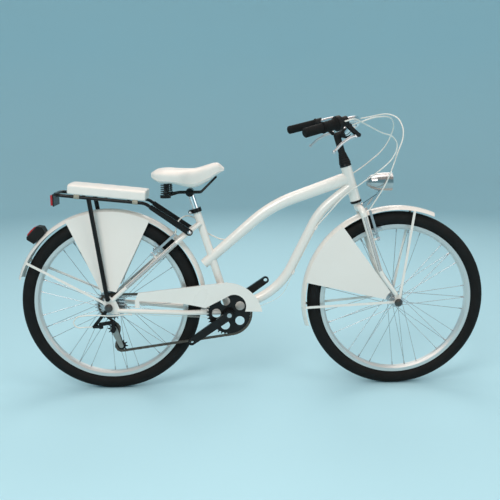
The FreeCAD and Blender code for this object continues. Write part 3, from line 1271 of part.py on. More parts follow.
tab_floor = rear_axle.z - dim.chain_stay_drop + dim.chain_stay_end_radius
tab_drop = V(0, 0, tab_floor - tab_left.z)
guard_tab = plate([tab_left, tab_left + tab_reach, tab_left + tab_reach + tab_drop, tab_left + tab_drop],
                  -Y * dim.guard_thickness)
guard_joined = guard_plate.multiFuse([guard_lip, guard_peg, guard_tab])
node("chain_guard", cut("chain_guard", feature("chain_guard_joined", guard_joined), chain_stays))

# Direct-pull brakes: two arms on each pair of bosses, with long pads facing the rim


def brake_arm(name, seat, side):
    pivot = seat.pivot(side)
    back = seat.outward * (dim.brake_arm_thickness / 2)
    across = Y * (dim.brake_arm_width / 2)
    lean = Y * (side * (dim.brake_top_spread - dim.brake_pivot_spread))
    top = pivot + seat.along * dim.brake_arm_length + lean
    bar = plate([pivot - across - back, pivot + across - back, top + across * 0.6 - back,
                 top - across * 0.6 - back],
                seat.outward * dim.brake_arm_thickness)
    hub_disc = Part.makeCylinder(dim.brake_arm_hub_radius, dim.brake_arm_thickness, pivot - back,
                                 seat.outward)
    rim_face = dim.rim_width / 2 + dim.brake_pad_gap
    pad_corner = seat.rim_level + Y * (side * rim_face) - seat.along * (dim.brake_pad_height / 2)
    pad_half = seat.outward * (dim.brake_pad_length / 2)
    pad_rise = seat.along * dim.brake_pad_height
    pad = plate([pad_corner - pad_half, pad_corner + pad_half, pad_corner + pad_half + pad_rise,
                 pad_corner - pad_half + pad_rise], Y * (side * dim.brake_pad_thickness))
    stud_start = seat.rim_level + Y * (side * (rim_face + dim.brake_pad_thickness / 2))
    stud_length = dim.brake_pivot_spread + dim.brake_arm_width - rim_face - dim.brake_pad_thickness / 2
    stud = Part.makeCylinder(dim.brake_stud_radius, stud_length, stud_start, Y * side)
    bore = Part.makeCylinder(dim.brake_boss_radius + dim.running_clearance, dim.brake_arm_thickness * 2,
                             pivot - back * 2, seat.outward)
    return node(name, feature(name, bar.multiFuse([hub_disc, pad, stud]).cut(bore)))


for wheel, seat in (("front", front_brake), ("rear", rear_brake)):
    for side_name, side in SIDES:
        brake_arm("%s_brake_arm_%s" % (wheel, side_name), seat, side)

# Seat post, saddle, its frame and coil springs
post_base = seat_top - seat_up * dim.seatpost_insert
post_top = seat_top + seat_up * dim.seatpost_rise
seatpost = rod("seatpost", dim.seatpost_radius, dim.seatpost_insert + dim.seatpost_rise, post_base, seat_up)
node("seatpost", seatpost)


def cushion_section(at, across, up, half_width, height, crown, draw):
    """A cushion's cross-section: flat under, drawn-in sides and a crowned top."""
    def point(side_share, level):
        return at + across * (half_width * side_share) + up * level

    foot = 1 - draw / half_width
    low_left, low_right = point(-foot, 0), point(foot, 0)
    rim_right, rim_left = point(foot, height - crown), point(-foot, height - crown)
    waist = (height - crown) / 2
    return Part.Wire([
        line(low_left, low_right), arc(low_right, point(1, waist), rim_right),
        arc(rim_right, point(0, height), rim_left), arc(rim_left, point(-1, waist), low_left)])


# Shares along the length, of the width, of the height and of the underside's rise
saddle_shares = [
    (0.0, 0.62, 0.36, 0.60), (0.06, 0.86, 0.72, 0.41), (0.2, 1.0, 0.93, 0.28), (0.36, 0.92, 1.04, 0.14),
    (0.55, 0.56, 1.2, 0.0), (0.75, 0.34, 1.16, 0.24), (0.9, 0.29, 0.84, 0.68), (1.0, 0.16, 0.2, 0.95)]
crown_share = 0.35
saddle_sections = []
for along, width_share, height_share, lift_share in saddle_shares:
    floor = dim.saddle_base + dim.saddle_rise * lift_share
    height = dim.saddle_rear_height * height_share
    saddle_sections.append(cushion_section(
        bike(dim.saddle_rear + dim.saddle_length * along, 0, floor), Y, Z,
        dim.saddle_width / 2 * width_share,
        height, height * crown_share, dim.saddle_side_draw * width_share))
saddle_shape = Part.makeLoft(saddle_sections, True, False)
node("saddle", feature("saddle", saddle_shape))


def saddle_floor(reach, spread):
    """The height of the saddle's underside above a point."""
    upright = line(bike(reach, spread, 0), bike(reach, spread, (dim.saddle_base + dim.saddle_rise) * 2))
    return saddle_shape.common(upright).BoundBox.ZMin


clamp_spot = V(post_top.x, 0, dim.rail_height)
saddle_clamp = disc("saddle_clamp", dim.saddle_clamp_radius, dim.saddle_clamp_length, clamp_spot, Y)
pin_reach = dim.saddle_rear + dim.saddle_length - dim.saddle_pin_inset
pin_rise = saddle_floor(pin_reach + dim.rail_radius, 0) - saddle_floor(pin_reach - dim.rail_radius, 0)
pin_slope = math.atan2(pin_rise, dim.rail_radius * 2)
pin_drop = (dim.rail_radius + dim.saddle_pin_gap) / math.cos(pin_slope)
nose_pin = bike(pin_reach, 0, saddle_floor(pin_reach, 0) - pin_drop)
frame_pieces = [saddle_clamp]
spring_floor = dim.spring_base - dim.saddle_pin_gap
seat_height = dim.rail_radius * 3
for side_name, side in SIDES:
    rail_side = side * dim.rail_spread
    spring_spot = bike(dim.spring_reach, side * dim.spring_spread, spring_floor)
    rail_points = [nose_pin + Y * (rail_side / 2),
                   V(clamp_spot.x + dim.saddle_clamp_length, rail_side, dim.rail_height),
                   V(clamp_spot.x - dim.saddle_clamp_length, rail_side, dim.rail_height),
                   spring_spot - Z * (dim.rail_radius * 2)]
    frame_pieces.append(swept("saddle_rail_" + side_name, rail_points, [dim.rail_bend] * 2,
                              dim.rail_radius))
    frame_pieces.append(rod("spring_seat_" + side_name, dim.spring_radius + dim.spring_wire_radius * 2,
                            seat_height,
                            spring_spot - Z * seat_height, Z))
frame_pieces.append(disc("saddle_nose_pin", dim.rail_radius, dim.rail_spread * 1.6, nose_pin, Y))
frame_joined = fused("saddle_frame_joined", frame_pieces)
node("saddle_frame", cut("saddle_frame", frame_joined, seatpost))


def half_arc(start, tangent, end):
    """An arc that leaves a point along a tangent and ends at another point."""
    chord = end - start
    unit = chord * (1 / chord.Length)
    angle = tangent.getAngle(unit)
    bulge = (tangent - unit * tangent.dot(unit)).normalize()
    middle = start + chord * 0.5 + bulge * (chord.Length / 2 * math.tan(angle / 2))
    return arc(start, middle, end)


def coil_spring(centre, height):
    """A coil of one wire on biarcs of a quarter turn, standing on its centre point."""
    rise = height - dim.spring_wire_radius * 2
    quarters = int(dim.spring_turns) * 4
    quarter = math.pi / 2

    def spot(step):
        angle = quarter * step
        round_spot = V(math.cos(angle), math.sin(angle), 0) * dim.spring_radius
        return centre + round_spot + Z * (dim.spring_wire_radius + rise * step / quarters)

    def heading(step):
        angle = quarter * step
        climb = rise / quarters / (quarter * dim.spring_radius)
        return V(-math.sin(angle), math.cos(angle), climb).normalize()

    edges = []
    for step in range(quarters):
        start, end = spot(step), spot(step + 1)
        first, last = heading(step), heading(step + 1)
        gap = end - start
        square = 2 * (first.dot(last) - 1)
        slant = -2 * gap.dot(first + last)
        reach = (-slant - math.sqrt(slant ** 2 - 4 * square * gap.dot(gap))) / (2 * square)
        joint = (start + end + (first - last) * reach) * 0.5
        edges.append(half_arc(start, first, joint))
        edges.append(half_arc(end, -last, joint))
    path = Part.Wire(Part.sortEdges(edges)[0])
    section = ring_wire(dim.spring_wire_radius, spot(0), heading(0))
    points = path.discretize(quarters * 4)
    nearest = min((p - q).Length for order, p in enumerate(points) for q in points[order + 10:])
    print("spring self gap %.2f" % (nearest - dim.spring_wire_radius * 2))
    return path.makePipeShell([section], True, False)


spring_edge = dim.spring_radius + dim.spring_wire_radius
springs = []
for side_name, side in SIDES:
    ceiling = min(saddle_floor(dim.spring_reach + lead, side * (dim.spring_spread + out))
                  for lead in (-spring_edge, 0, spring_edge) for out in (-spring_edge, 0, spring_edge))
    base = bike(dim.spring_reach, side * dim.spring_spread, dim.spring_base)
    springs.append(coil_spring(base, ceiling - dim.saddle_pin_gap - base.z))
node("saddle_springs", feature("saddle_springs", Part.makeCompound(springs)))

# Rear carrier: one bent tube with cross bars, legs and a rear plate, and its seat pad
rack_slope = V(dim.rack_front - dim.rack_rear, 0, dim.rack_front_height - dim.rack_rear_height).normalize()
rack_up = V(-rack_slope.z, 0, rack_slope.x)


def rack_point(reach, spread, lift=0):
    """A point on the carrier's sloping top, lifted square to it."""
    share = (reach - dim.rack_rear) / (dim.rack_front - dim.rack_rear)
    height = dim.rack_rear_height + (dim.rack_front_height - dim.rack_rear_height) * share
    return bike(reach, spread, height) + rack_up * lift


def rack_bolt(side):
    """The carrier's front end lies against the outside of the seat stay."""
    foot, knee, top = seat_stay_points(side)
    along = (top - knee).normalize()
    gap = dim.seat_stay_radius + dim.rack_tube_radius + dim.air_gap
    return knee + (top - knee) * 0.5 + Y * (side * gap / math.sqrt(1 - along.y ** 2))


rack_route = [rack_bolt(-1), rack_point(dim.rack_front, -dim.rack_spread),
              rack_point(dim.rack_rear, -dim.rack_spread),
              rack_point(dim.rack_rear, dim.rack_spread), rack_point(dim.rack_front, dim.rack_spread),
              rack_bolt(1)]
rack_bends = [dim.rack_bend, dim.rack_corner, dim.rack_corner, dim.rack_bend]
rack_pieces = [swept("rack_tube", rack_route, rack_bends, dim.rack_tube_radius)]
rack_bar_shares = (0.3, 0.55, 0.8)
for index, share in enumerate(rack_bar_shares):
    reach = dim.rack_rear + (dim.rack_front - dim.rack_rear) * share
    rack_pieces.append(rod_between("rack_bar_%d" % index, dim.rack_bar_radius,
                                   rack_point(reach, -dim.rack_spread),
                                   rack_point(reach, dim.rack_spread)))
foot_face = rear_half + dim.dropout_thickness
for side_name, side in SIDES:
    leg_top = rack_point(dim.rack_leg_top, side * dim.rack_spread)
    foot_base = rear_axle + V(dim.rack_leg_foot, side * foot_face, dim.rack_leg_foot_rise)
    leg_foot = foot_base + Y * (side * (dim.rack_leg_radius + dim.air_gap))
    rack_pieces.append(rod_between("rack_leg_" + side_name, dim.rack_leg_radius, leg_foot, leg_top))
    rack_pieces.append(rod("rack_foot_" + side_name, dim.rack_foot_radius, dim.rack_foot_thickness,
                           foot_base, Y * side))
    strut_end = rack_bolt(side)
    strut_start = rack_point(dim.rack_front, side * dim.rack_spread)
    strut_dir = (strut_end - strut_start).normalize()
    strut_up = (Z - strut_dir * strut_dir.z).normalize()
    strut_out = strut_dir.cross(strut_up) * dim.rack_strut_thickness
    strut_start = strut_start + strut_dir * (dim.rack_bend / 2)
    strut_half = strut_up * (dim.rack_strut_height / 2)
    strut = plate([strut_start - strut_half * 0.7 - strut_out * 0.5,
                   strut_end - strut_half - strut_out * 0.5,
                   strut_end + strut_half - strut_out * 0.5,
                   strut_start + strut_half * 0.7 - strut_out * 0.5], strut_out)
    rack_pieces.append(feature("rack_strut_" + side_name, strut))
    rack_pieces.append(disc("rack_strut_eye_" + side_name, dim.rack_strut_height / 2,
                            dim.rack_strut_thickness * 1.3,
                            strut_end, strut_out))
rack_tail = bike(dim.rack_rear - dim.rack_tube_radius * 0.8, 0, dim.rack_rear_height)
plate_half = Y * (dim.reflector_width / 2)
plate_drop = Z * dim.reflector_height
rear_plate = plate([rack_tail - plate_half, rack_tail + plate_half, rack_tail + plate_half - plate_drop,
                    rack_tail - plate_half - plate_drop], -X * dim.reflector_bracket)
rack_pieces.append(feature("rack_rear_plate", rear_plate))
node("rack", fused("rack", rack_pieces))

pad_shares = [(0.0, 0.9, 0.62), (0.05, 0.985, 0.9), (0.3, 1.0, 1.0), (0.7, 1.0, 1.0), (0.95, 0.985, 0.9),
              (1.0, 0.9, 0.62)]
pad_sections = []
for along, width_share, height_share in pad_shares:
    pad_at = rack_point(dim.pad_rear + dim.pad_length * along, 0, dim.rack_tube_radius + dim.air_gap)
    pad_sections.append(cushion_section(
        pad_at, Y, rack_up, dim.pad_width / 2 * width_share, dim.pad_height * height_share,
        dim.pad_crown * height_share, dim.pad_draw))
node("rack_pad", feature("rack_pad", Part.makeLoft(pad_sections, True, False)))

# Lights
tail_out = V(cosine(dim.tail_light_angle), 0, sine(dim.tail_light_angle))
tail_along = V(-tail_out.z, 0, tail_out.x)
tail_base = rear_axle + tail_out * (dim.mudguard_radius + dim.air_gap) - Y * (dim.tail_light_width / 2)
tail_shares = [(0, -0.42), (0, 0.42), (0.8, 0.5), (1.0, 0.4), (1.0, -0.34), (0.55, -0.5)]
tail_depth = tail_out * dim.tail_light_depth
tail_rise = tail_along * dim.tail_light_height
tail_points = [tail_base + tail_depth * out + tail_rise * along for out, along in tail_shares]
node("tail_light", feature("tail_light", plate(tail_points, Y * dim.tail_light_width)))
lens_shares = [(0, -0.3), (0, 0.36), (0.7, 0.3), (1.0, 0.03), (0.7, -0.24)]
lens_inset = Y * (dim.tail_light_width * 0.08)
lens_points = [tail_base + lens_inset + tail_out * (dim.tail_light_depth + dim.tail_lens_depth * out)
               + tail_along * (dim.tail_light_height * along) for out, along in lens_shares]
tail_lens = plate(lens_points, Y * (dim.tail_light_width * 0.84))
lens_corner = rack_tail - X * dim.reflector_bracket - plate_half * 0.92 - plate_drop * 0.08
lens_across = plate_half * 1.84
lens_down = plate_drop * 0.84
rear_reflector = plate([lens_corner, lens_corner + lens_across, lens_corner + lens_across - lens_down,
                        lens_corner - lens_down], -X * dim.reflector_thickness)
node("rear_lenses", feature("rear_lenses", Part.makeCompound([tail_lens, rear_reflector])))

light_rear = steer(dim.headlight_rise, dim.headlight_lead)
wall = dim.headlight_wall
full = dim.headlight_radius
length = dim.headlight_length
shell = turned("headlight_shell", [
    (0, 0), (dim.headlight_tail_radius, 0), (full * 0.72, length * 0.14), (full * 0.92, length * 0.36),
    (full, length * 0.66), (full, length), (full - wall, length), (full - wall, length * 0.66),
    (full * 0.92 - wall, length * 0.36 + wall), (full * 0.72 - wall, length * 0.14 + wall), (0, wall * 2)],
    light_rear, X)
light_ear = light_rear + X * (length * 0.5) - Z * (full + dim.light_ear_drop)
ear = disc("headlight_ear", dim.light_ear_radius, dim.light_bracket_width / 2, light_ear, Y)
ear_stem = rod("headlight_ear_stem", dim.light_bracket_width * 0.2, dim.light_ear_drop + wall, light_ear, Z)
ear_bore = disc("headlight_ear_bore", dim.light_bolt_radius + dim.running_clearance,
                dim.light_bracket_width * 2,
                light_ear, Y)
shell_joined = fused("headlight_joined", [shell, ear, ear_stem])
node("headlight", cut("headlight", shell_joined, ear_bore))
lens_bed = length - dim.lens_inset
node("headlight_lens", turned("headlight_lens", [
    (0, lens_bed - dim.lens_thickness), (full - wall, lens_bed - dim.lens_thickness),
    (full - wall, lens_bed),
    (full * 0.5, lens_bed + dim.lens_inset * 0.6), (0, lens_bed + dim.lens_inset * 0.75)], light_rear, X))

bracket_thick = dim.light_bracket_thickness
crown_slant = dim.fork_blade_lead / dim.fork_spread
bracket_lead = dim.fork_blade_radius * 1.02 + dim.light_bracket_width * crown_slant + dim.air_gap
bracket_pieces = []
for sign in (-1, 1):
    cheek_start = light_ear + Y * (sign * (dim.light_bracket_width / 4 + dim.air_gap))
    bracket_pieces.append(rod("light_cheek_%d" % sign, dim.light_ear_radius, bracket_thick, cheek_start,
                              Y * sign))
    seat_low = steer(dim.fork_crown, bracket_lead + bracket_thick / 2)
    seat_low = seat_low + Y * (sign * (dim.light_bracket_width / 4 + dim.air_gap))
    wide = V(steer_up) * dim.light_ear_radius
    strap = plate([seat_low - wide, seat_low + wide, cheek_start + Z * dim.light_ear_radius * 0.5,
                   cheek_start + X * dim.light_ear_radius * 0.6 - Z * dim.light_ear_radius * 0.8],
                  Y * (sign * bracket_thick))
    bracket_pieces.append(feature("light_strap_%d" % sign, strap))
bracket_pieces.append(disc("light_bolt", dim.light_bolt_radius, dim.light_bracket_width + bracket_thick,
                           light_ear, Y))
seat_spot = steer(dim.fork_crown, bracket_lead)
bracket_pieces.append(rod("light_seat", dim.light_bracket_width, bracket_thick, seat_spot, steer_ahead))
node("headlight_bracket", fused("headlight_bracket", bracket_pieces))


# Cable housings: straight runs joined by arcs as large as the runs allow


def housing(name, points, radius):
    bends = []
    for before, corner, after in zip(points, points[1:], points[2:]):
        back, ahead = before - corner, after - corner
        half_turn = (math.pi - back.getAngle(ahead)) / 2
        bends.append(0.45 * min(back.Length, ahead.Length) / math.tan(half_turn))
    path = rounded_path(points, bends)
    section = ring_wire(radius, points[0], points[1] - points[0])
    tube = path.makePipeShell([section], True, False)
    print("%s: length %.0f, least bend %.0f, volume ratio %.3f" % (
        name, path.Length, min(bends, default=path.Length),
        tube.Volume / (math.pi * radius ** 2 * path.Length)))
    return tube


barrel_tip = {}
for side_name, side in SIDES:
    middle = clamp_starts[side_name] + dim.lever_clamp_length / 2
    barrel_reach = middle + dim.lever_clamp_length / 2 + dim.lever_barrel + dim.air_gap
    barrel_tip[side_name] = bar_ends[side_name].at(barrel_reach, dim.lever_clamp_radius)
# Route points as shares of the wheelbase: reach, side and height
front_brake_shares = [
    (0.9091, 0.1420, 0.9451), (0.9763, 0.0900, 0.9602), (1.0095, 0.0521, 0.9451),
    (1.0199, 0.0189, 0.9062), (1.0142, 0.0000, 0.8712), (0.9924, -0.0237, 0.8305),
    (0.9716, -0.0407, 0.7765), (0.9470, -0.0455, 0.7178)]
shift_shares = [
    (0.9223, -0.0947, 0.8949), (0.9602, -0.0663, 0.8864), (0.9830, -0.0521, 0.8627),
    (0.9830, -0.0473, 0.8362), (0.9669, -0.0473, 0.8049), (0.9290, -0.0492, 0.7708),
    (0.8456, -0.0322, 0.7093), (0.8087, -0.0246, 0.6809)]
rear_brake_shares = [
    (0.8807, -0.1610, 0.9470), (0.9517, -0.0852, 0.9498), (0.9848, 0.0000, 0.9138),
    (0.9612, 0.0426, 0.8381), (0.8807, 0.0455, 0.7718)]
shift_wire_shares = [
    (0.5985, -0.0148, 0.3267), (0.4261, -0.0148, 0.2566), (0.3788, -0.0189, 0.2566),
    (0.2699, -0.0398, 0.2670)]
shift_loop_shares = [
    (0.0095, -0.0805, 0.2841), (-0.0568, -0.0810, 0.2898), (-0.1098, -0.0800, 0.2841),
    (-0.1250, -0.0800, 0.2614), (-0.1098, -0.0795, 0.2443), (-0.0833, -0.0795, 0.2462)]
rear_loop_shares = [
    (0.5606, 0.0208, 0.6477), (0.4091, 0.0246, 0.5170), (0.3295, 0.0303, 0.5540),
    (0.3030, 0.0341, 0.6023), (0.2699, 0.0189, 0.6174), (0.2386, -0.0189, 0.6061)]


def route(shares):
    return [bike(dim.wheelbase * reach, dim.wheelbase * spread, dim.wheelbase * height)
            for reach, spread, height in shares]


def arm_top(seat, side):
    """Just past the upper end of a brake arm."""
    spread = side * (dim.brake_top_spread - dim.brake_pivot_spread)
    return seat.pivot(side) + seat.along * (dim.brake_arm_length + dim.housing_radius) + Y * spread


stop_half = dim.cable_guide_length / 2 + dim.housing_radius / 2
barrel_lead = dim.lever_clamp_length * 2
left_out = bar_ends["left"].inward * barrel_lead
right_out = bar_ends["right"].inward * barrel_lead
front_route = [barrel_tip["left"], barrel_tip["left"] + left_out] + route(front_brake_shares)
front_route.append(arm_top(front_brake, -1))
node("front_brake_cable", feature("front_brake_cable",
                                  housing("front brake cable", front_route, dim.housing_radius)))

shift_start = bar_ends["right"].at(case_start + dim.shifter_case_length + dim.air_gap)
shift_start = shift_start - bar_ends["right"].pin_axis * (dim.lever_clamp_radius + dim.housing_radius * 1.6)
shift_route = [shift_start, shift_start + right_out] + route(shift_shares)
shift_route.append(guide_spots[0] - down_mid_dir * stop_half)
brake_route = [barrel_tip["right"], barrel_tip["right"] + right_out] + route(rear_brake_shares)
brake_route += [top_stops[0] - top_dir * (stop_half + barrel_lead), top_stops[0] - top_dir * stop_half]
node("steering_cables", feature("steering_cables", Part.makeCompound([
    housing("shift housing", shift_route, dim.housing_radius),
    housing("rear brake housing", brake_route, dim.housing_radius)])))

wire_half = dim.cable_guide_length / 2 + dim.air_gap
wire_turn = [guide_spots[1] + down_mid_dir * wire_half] + route(shift_wire_shares)
wire_runs = [
    [guide_spots[0] + down_mid_dir * wire_half, guide_spots[1] - down_mid_dir * wire_half],
    wire_turn + [stay_stop + stay_dir * wire_half],
    [top_stops[0] + top_dir * wire_half, top_stops[1] - top_dir * wire_half]]
shift_end = V(hanger_low.x - dim.housing_radius, hanger_pin.y, hanger_pin.z - half_block / 2)
housing_runs = [
    [stay_stop - stay_dir * stop_half] + route(shift_loop_shares) + [shift_end],
    [top_stops[1] + top_dir * stop_half] + route(rear_loop_shares) + [arm_top(rear_brake, -1)]]
frame_runs = [housing("frame wire %d" % index, run, dim.wire_radius) for index, run in enumerate(wire_runs)]
frame_runs += [housing("frame housing %d" % index, run, dim.housing_radius)
               for index, run in enumerate(housing_runs)]
node("frame_cables", feature("frame_cables", Part.makeCompound(frame_runs)))

doc.recompute()
os.makedirs("parts", exist_ok=True)
for item in doc.Objects:
    if "Invalid" in item.State or "Error" in item.State:
        raise RuntimeError("failed: %s %s" % (item.Name, item.State))
for item in nodes:
    if item.Shape.isNull() or not item.Shape.isValid():
        raise RuntimeError("bad shape: " + item.Label)
for item in nodes:
    item.Shape.exportStep("parts/%s.step" % item.Label)
    print(item.Label, len(item.Shape.Solids), "solids, %.1f cm3" % (item.Shape.Volume / 1000))
print(len(nodes), "nodes")
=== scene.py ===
# %% [markdown]
# A beach cruiser bicycle, dressed for the studio.
# The frame, wheels and every moving piece come from the solid model and stay where they are.
# This lesson gives each of them a finish, and makes the soft and trim pieces as surfaces.

# %% Load the frame
import json
import math
import bmesh
import bpy
import numpy as np
from mathutils import Matrix


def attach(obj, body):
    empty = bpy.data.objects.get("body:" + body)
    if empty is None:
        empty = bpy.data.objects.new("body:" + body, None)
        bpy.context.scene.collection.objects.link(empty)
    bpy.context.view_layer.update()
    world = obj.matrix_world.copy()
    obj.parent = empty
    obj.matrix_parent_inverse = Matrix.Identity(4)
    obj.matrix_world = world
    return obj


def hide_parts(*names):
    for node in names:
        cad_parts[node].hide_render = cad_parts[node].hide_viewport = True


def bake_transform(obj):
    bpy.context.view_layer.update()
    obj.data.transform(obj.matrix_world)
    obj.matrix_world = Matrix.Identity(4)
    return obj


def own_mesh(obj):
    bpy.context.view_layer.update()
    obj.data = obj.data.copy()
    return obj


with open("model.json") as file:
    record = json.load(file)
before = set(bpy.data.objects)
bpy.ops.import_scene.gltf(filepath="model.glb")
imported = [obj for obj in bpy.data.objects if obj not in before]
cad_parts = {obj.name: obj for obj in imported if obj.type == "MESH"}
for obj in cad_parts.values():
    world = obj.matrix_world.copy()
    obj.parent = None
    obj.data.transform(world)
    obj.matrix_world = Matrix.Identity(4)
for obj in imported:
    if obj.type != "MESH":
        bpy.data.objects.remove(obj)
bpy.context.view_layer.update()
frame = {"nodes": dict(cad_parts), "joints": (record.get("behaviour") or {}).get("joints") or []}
nodes = frame["nodes"]
MM = 0.001

# %% [markdown]
# Every finish starts from the same few nodes: a shader, a set of coordinates and some links.
# Small helpers keep each material short, so the lesson can show what differs between them.


# %% Helpers for node trees
class Tree:
    """A node tree with short calls to add a node and to join two sockets."""

    def __init__(self, tree):
        self.tree = tree

    def add(self, kind, **values):
        made = self.tree.nodes.new(kind)
        for name, value in values.items():
            setattr(made, name, value)
        return made

    def join(self, source, target):
        self.tree.links.new(source, target)

    def maths(self, operation, first, second=None):
        """One maths node; a number sets the socket and a socket is linked to it."""
        made = self.add("ShaderNodeMath", operation=operation)
        for index, value in enumerate((first, second)):
            if value is None:
                continue
            if isinstance(value, (int, float)):
                made.inputs[index].default_value = value
            else:
                self.join(value, made.inputs[index])
        return made.outputs[0]

    def dot(self, vector, direction):
        """The length of a vector along a fixed direction."""
        made = self.add("ShaderNodeVectorMath", operation="DOT_PRODUCT")
        self.join(vector, made.inputs[0])
        made.inputs[1].default_value = tuple(direction)
        return made.outputs["Value"]

    def mix(self, mask, first, second):
        """A colour between two, chosen by a mask from 0 to 1."""
        made = self.add("ShaderNodeMix", data_type="RGBA")
        self.join(mask, made.inputs[0])
        for index, value in ((6, first), (7, second)):
            if isinstance(value, tuple):
                made.inputs[index].default_value = (*value, 1)
            else:
                self.join(value, made.inputs[index])
        return made.outputs[2]


print("node trees have short calls")

# %% [markdown]
# An effect that several finishes share is built once, as a node group with named sockets. Its nodes could
# be copied into every material instead, but then each later change would have to be made in all of them.


# %% A node group
def new_group(name, inputs, outputs):
    """A shader node group with its named sockets; returns the tree and its two ends."""
    group = bpy.data.node_groups.new(name, "ShaderNodeTree")
    for label, kind, value in inputs:
        socket = group.interface.new_socket(label, in_out="INPUT", socket_type=kind)
        if value is not None:
            socket.default_value = value
    for label, kind in outputs:
        group.interface.new_socket(label, in_out="OUTPUT", socket_type=kind)
    tree = Tree(group)
    return group, tree, tree.add("NodeGroupInput").outputs, tree.add("NodeGroupOutput").inputs


print("node groups can be made")

# %% [markdown]
# No real surface has one colour all over. Paint has a faint orange peel, rubber has dust in its
# pores, and metal has soft patches where hands have been. One group makes all of these: a wide
# cloud for the colour, the same cloud for the gloss, and a fine grain for the height.

# %% The surface group
FLOAT, COLOR, VECTOR = "NodeSocketFloat", "NodeSocketColor", "NodeSocketVector"
CLOUD_DETAIL, CLOUD_GAIN, GRAIN_DETAIL = 5.0, 1.1, 3.0
surface_group, tree, came, goes = new_group(
    "surface_play",
    [("Vector", VECTOR, None), ("Color", COLOR, (0.8, 0.8, 0.8, 1)),
     ("Cloud Color", COLOR, (0.7, 0.7, 0.7, 1)), ("Cloud Scale", FLOAT, 8.0), ("Roughness", FLOAT, 0.4),
     ("Roughness Spread", FLOAT, 0.1), ("Grain Scale", FLOAT, 600.0)],
    [("Color", COLOR), ("Roughness", FLOAT), ("Height", FLOAT)])
cloud = tree.add("ShaderNodeTexNoise")
cloud.inputs["Detail"].default_value = CLOUD_DETAIL
tree.join(came["Vector"], cloud.inputs["Vector"])
tree.join(came["Cloud Scale"], cloud.inputs["Scale"])
cloud_mask = tree.maths("SMOOTH_MIN", tree.maths("MULTIPLY", cloud.outputs[0], CLOUD_GAIN), 1.0)
tree.join(tree.mix(cloud_mask, came["Color"], came["Cloud Color"]), goes["Color"])
swing = tree.maths("MULTIPLY", tree.maths("SUBTRACT", cloud.outputs[0], 0.5), came["Roughness Spread"])
tree.join(tree.maths("ADD", came["Roughness"], swing), goes["Roughness"])
grain = tree.add("ShaderNodeTexNoise")
grain.inputs["Detail"].default_value = GRAIN_DETAIL
tree.join(came["Vector"], grain.inputs["Vector"])
tree.join(came["Grain Scale"], grain.inputs["Scale"])
tree.join(grain.outputs[0], goes["Height"])
print("group:", surface_group.name)

# %% [markdown]
# A finish joins that group to a shader. Each material could be wired by hand, but they differ only in
# a few numbers, so one class builds the tree and lets a later step swap the colour or the height.

# %% A finish from the group
COAT_ROUGH, BUMP_DEPTH = 0.06, 2.0 * MM


class Finish:
    """A material: a shader, object coordinates and the surface group, joined by a bump."""

    def __init__(self, name, color, cloud_color, rough, spread=0.1, cloud_scale=8.0, grain_scale=600.0,
                 grain=0.05, metallic=0.0, coat=0.0, shine=0.5):
        self.material = bpy.data.materials.new(name)
        self.material.use_nodes = True
        self.tree = Tree(self.material.node_tree)
        self.shader = self.material.node_tree.nodes["Principled BSDF"]
        self.shader.inputs["Metallic"].default_value = metallic
        self.shader.inputs["Coat Weight"].default_value = coat
        self.shader.inputs["Coat Roughness"].default_value = COAT_ROUGH
        self.shader.inputs["Specular IOR Level"].default_value = shine
        self.place = self.tree.add("ShaderNodeTexCoord").outputs["Object"]
        self.group = self.tree.add("ShaderNodeGroup", node_tree=surface_group)
        for label, value in (("Color", (*color, 1)), ("Cloud Color", (*cloud_color, 1)),
                             ("Cloud Scale", cloud_scale), ("Roughness", rough),
                             ("Roughness Spread", spread), ("Grain Scale", grain_scale)):
            self.group.inputs[label].default_value = value
        self.tree.join(self.place, self.group.inputs["Vector"])
        self.bump = self.tree.add("ShaderNodeBump")
        self.bump.inputs["Strength"].default_value = grain
        self.bump.inputs["Distance"].default_value = BUMP_DEPTH
        self.color(self.group.outputs["Color"])
        self.rough(self.group.outputs["Roughness"])
        self.height(self.group.outputs["Height"])
        self.tree.join(self.bump.outputs[0], self.shader.inputs["Normal"])

    def color(self, socket):
        self.tree.join(socket, self.shader.inputs["Base Color"])

    def rough(self, socket):
        self.tree.join(socket, self.shader.inputs["Roughness"])

    def height(self, socket):
        self.tree.join(socket, self.bump.inputs["Height"])


def dress(finish, *names):
    """Puts one finish on each named solid piece."""
    for name in names:
        nodes[name].data.materials.clear()
        nodes[name].data.materials.append(finish.material)
    print(finish.material.name, "on", len(names), "pieces")


print("finishes can be mixed")

# %% [markdown]
# The tubes, mudguards and chain guard carry a glossy off-white enamel. A clear coat over a very
# faint orange peel gives the soft reflections along the tubes. The coat guards are thin plastic in
# nearly the same white, so they get less coat and a wider, duller highlight.


# %% White enamel and coat guards
def white_enamel(name):
    """Glossy off-white paint under a clear coat."""
    return Finish(name, (0.83, 0.775, 0.72), (0.785, 0.73, 0.675), rough=0.28, spread=0.08,
                  cloud_scale=6.0, grain_scale=420.0, grain=0.03, coat=0.7)


dress(white_enamel("white_enamel"), "head_tube", "top_tube", "down_tube", "seat_tube", "chain_stays",
      "rear_mudguard", "front_mudguard", "chain_guard")
guard_white = Finish("coat_guard_plastic", (0.82, 0.767, 0.715), (0.775, 0.722, 0.67), rough=0.42,
                     spread=0.12, cloud_scale=10.0, grain_scale=900.0, grain=0.05, coat=0.15)
dress(guard_white, "rear_coat_guards", "front_coat_guards")

# %% [markdown]
# The fork blades and the seat stays wear two thin dark lines with a grey band between them. The
# lines could be separate strips, but paint has no thickness, so a mask does it: the distance of a
# point from the blade's middle, measured across the blade, picks the line or the band.

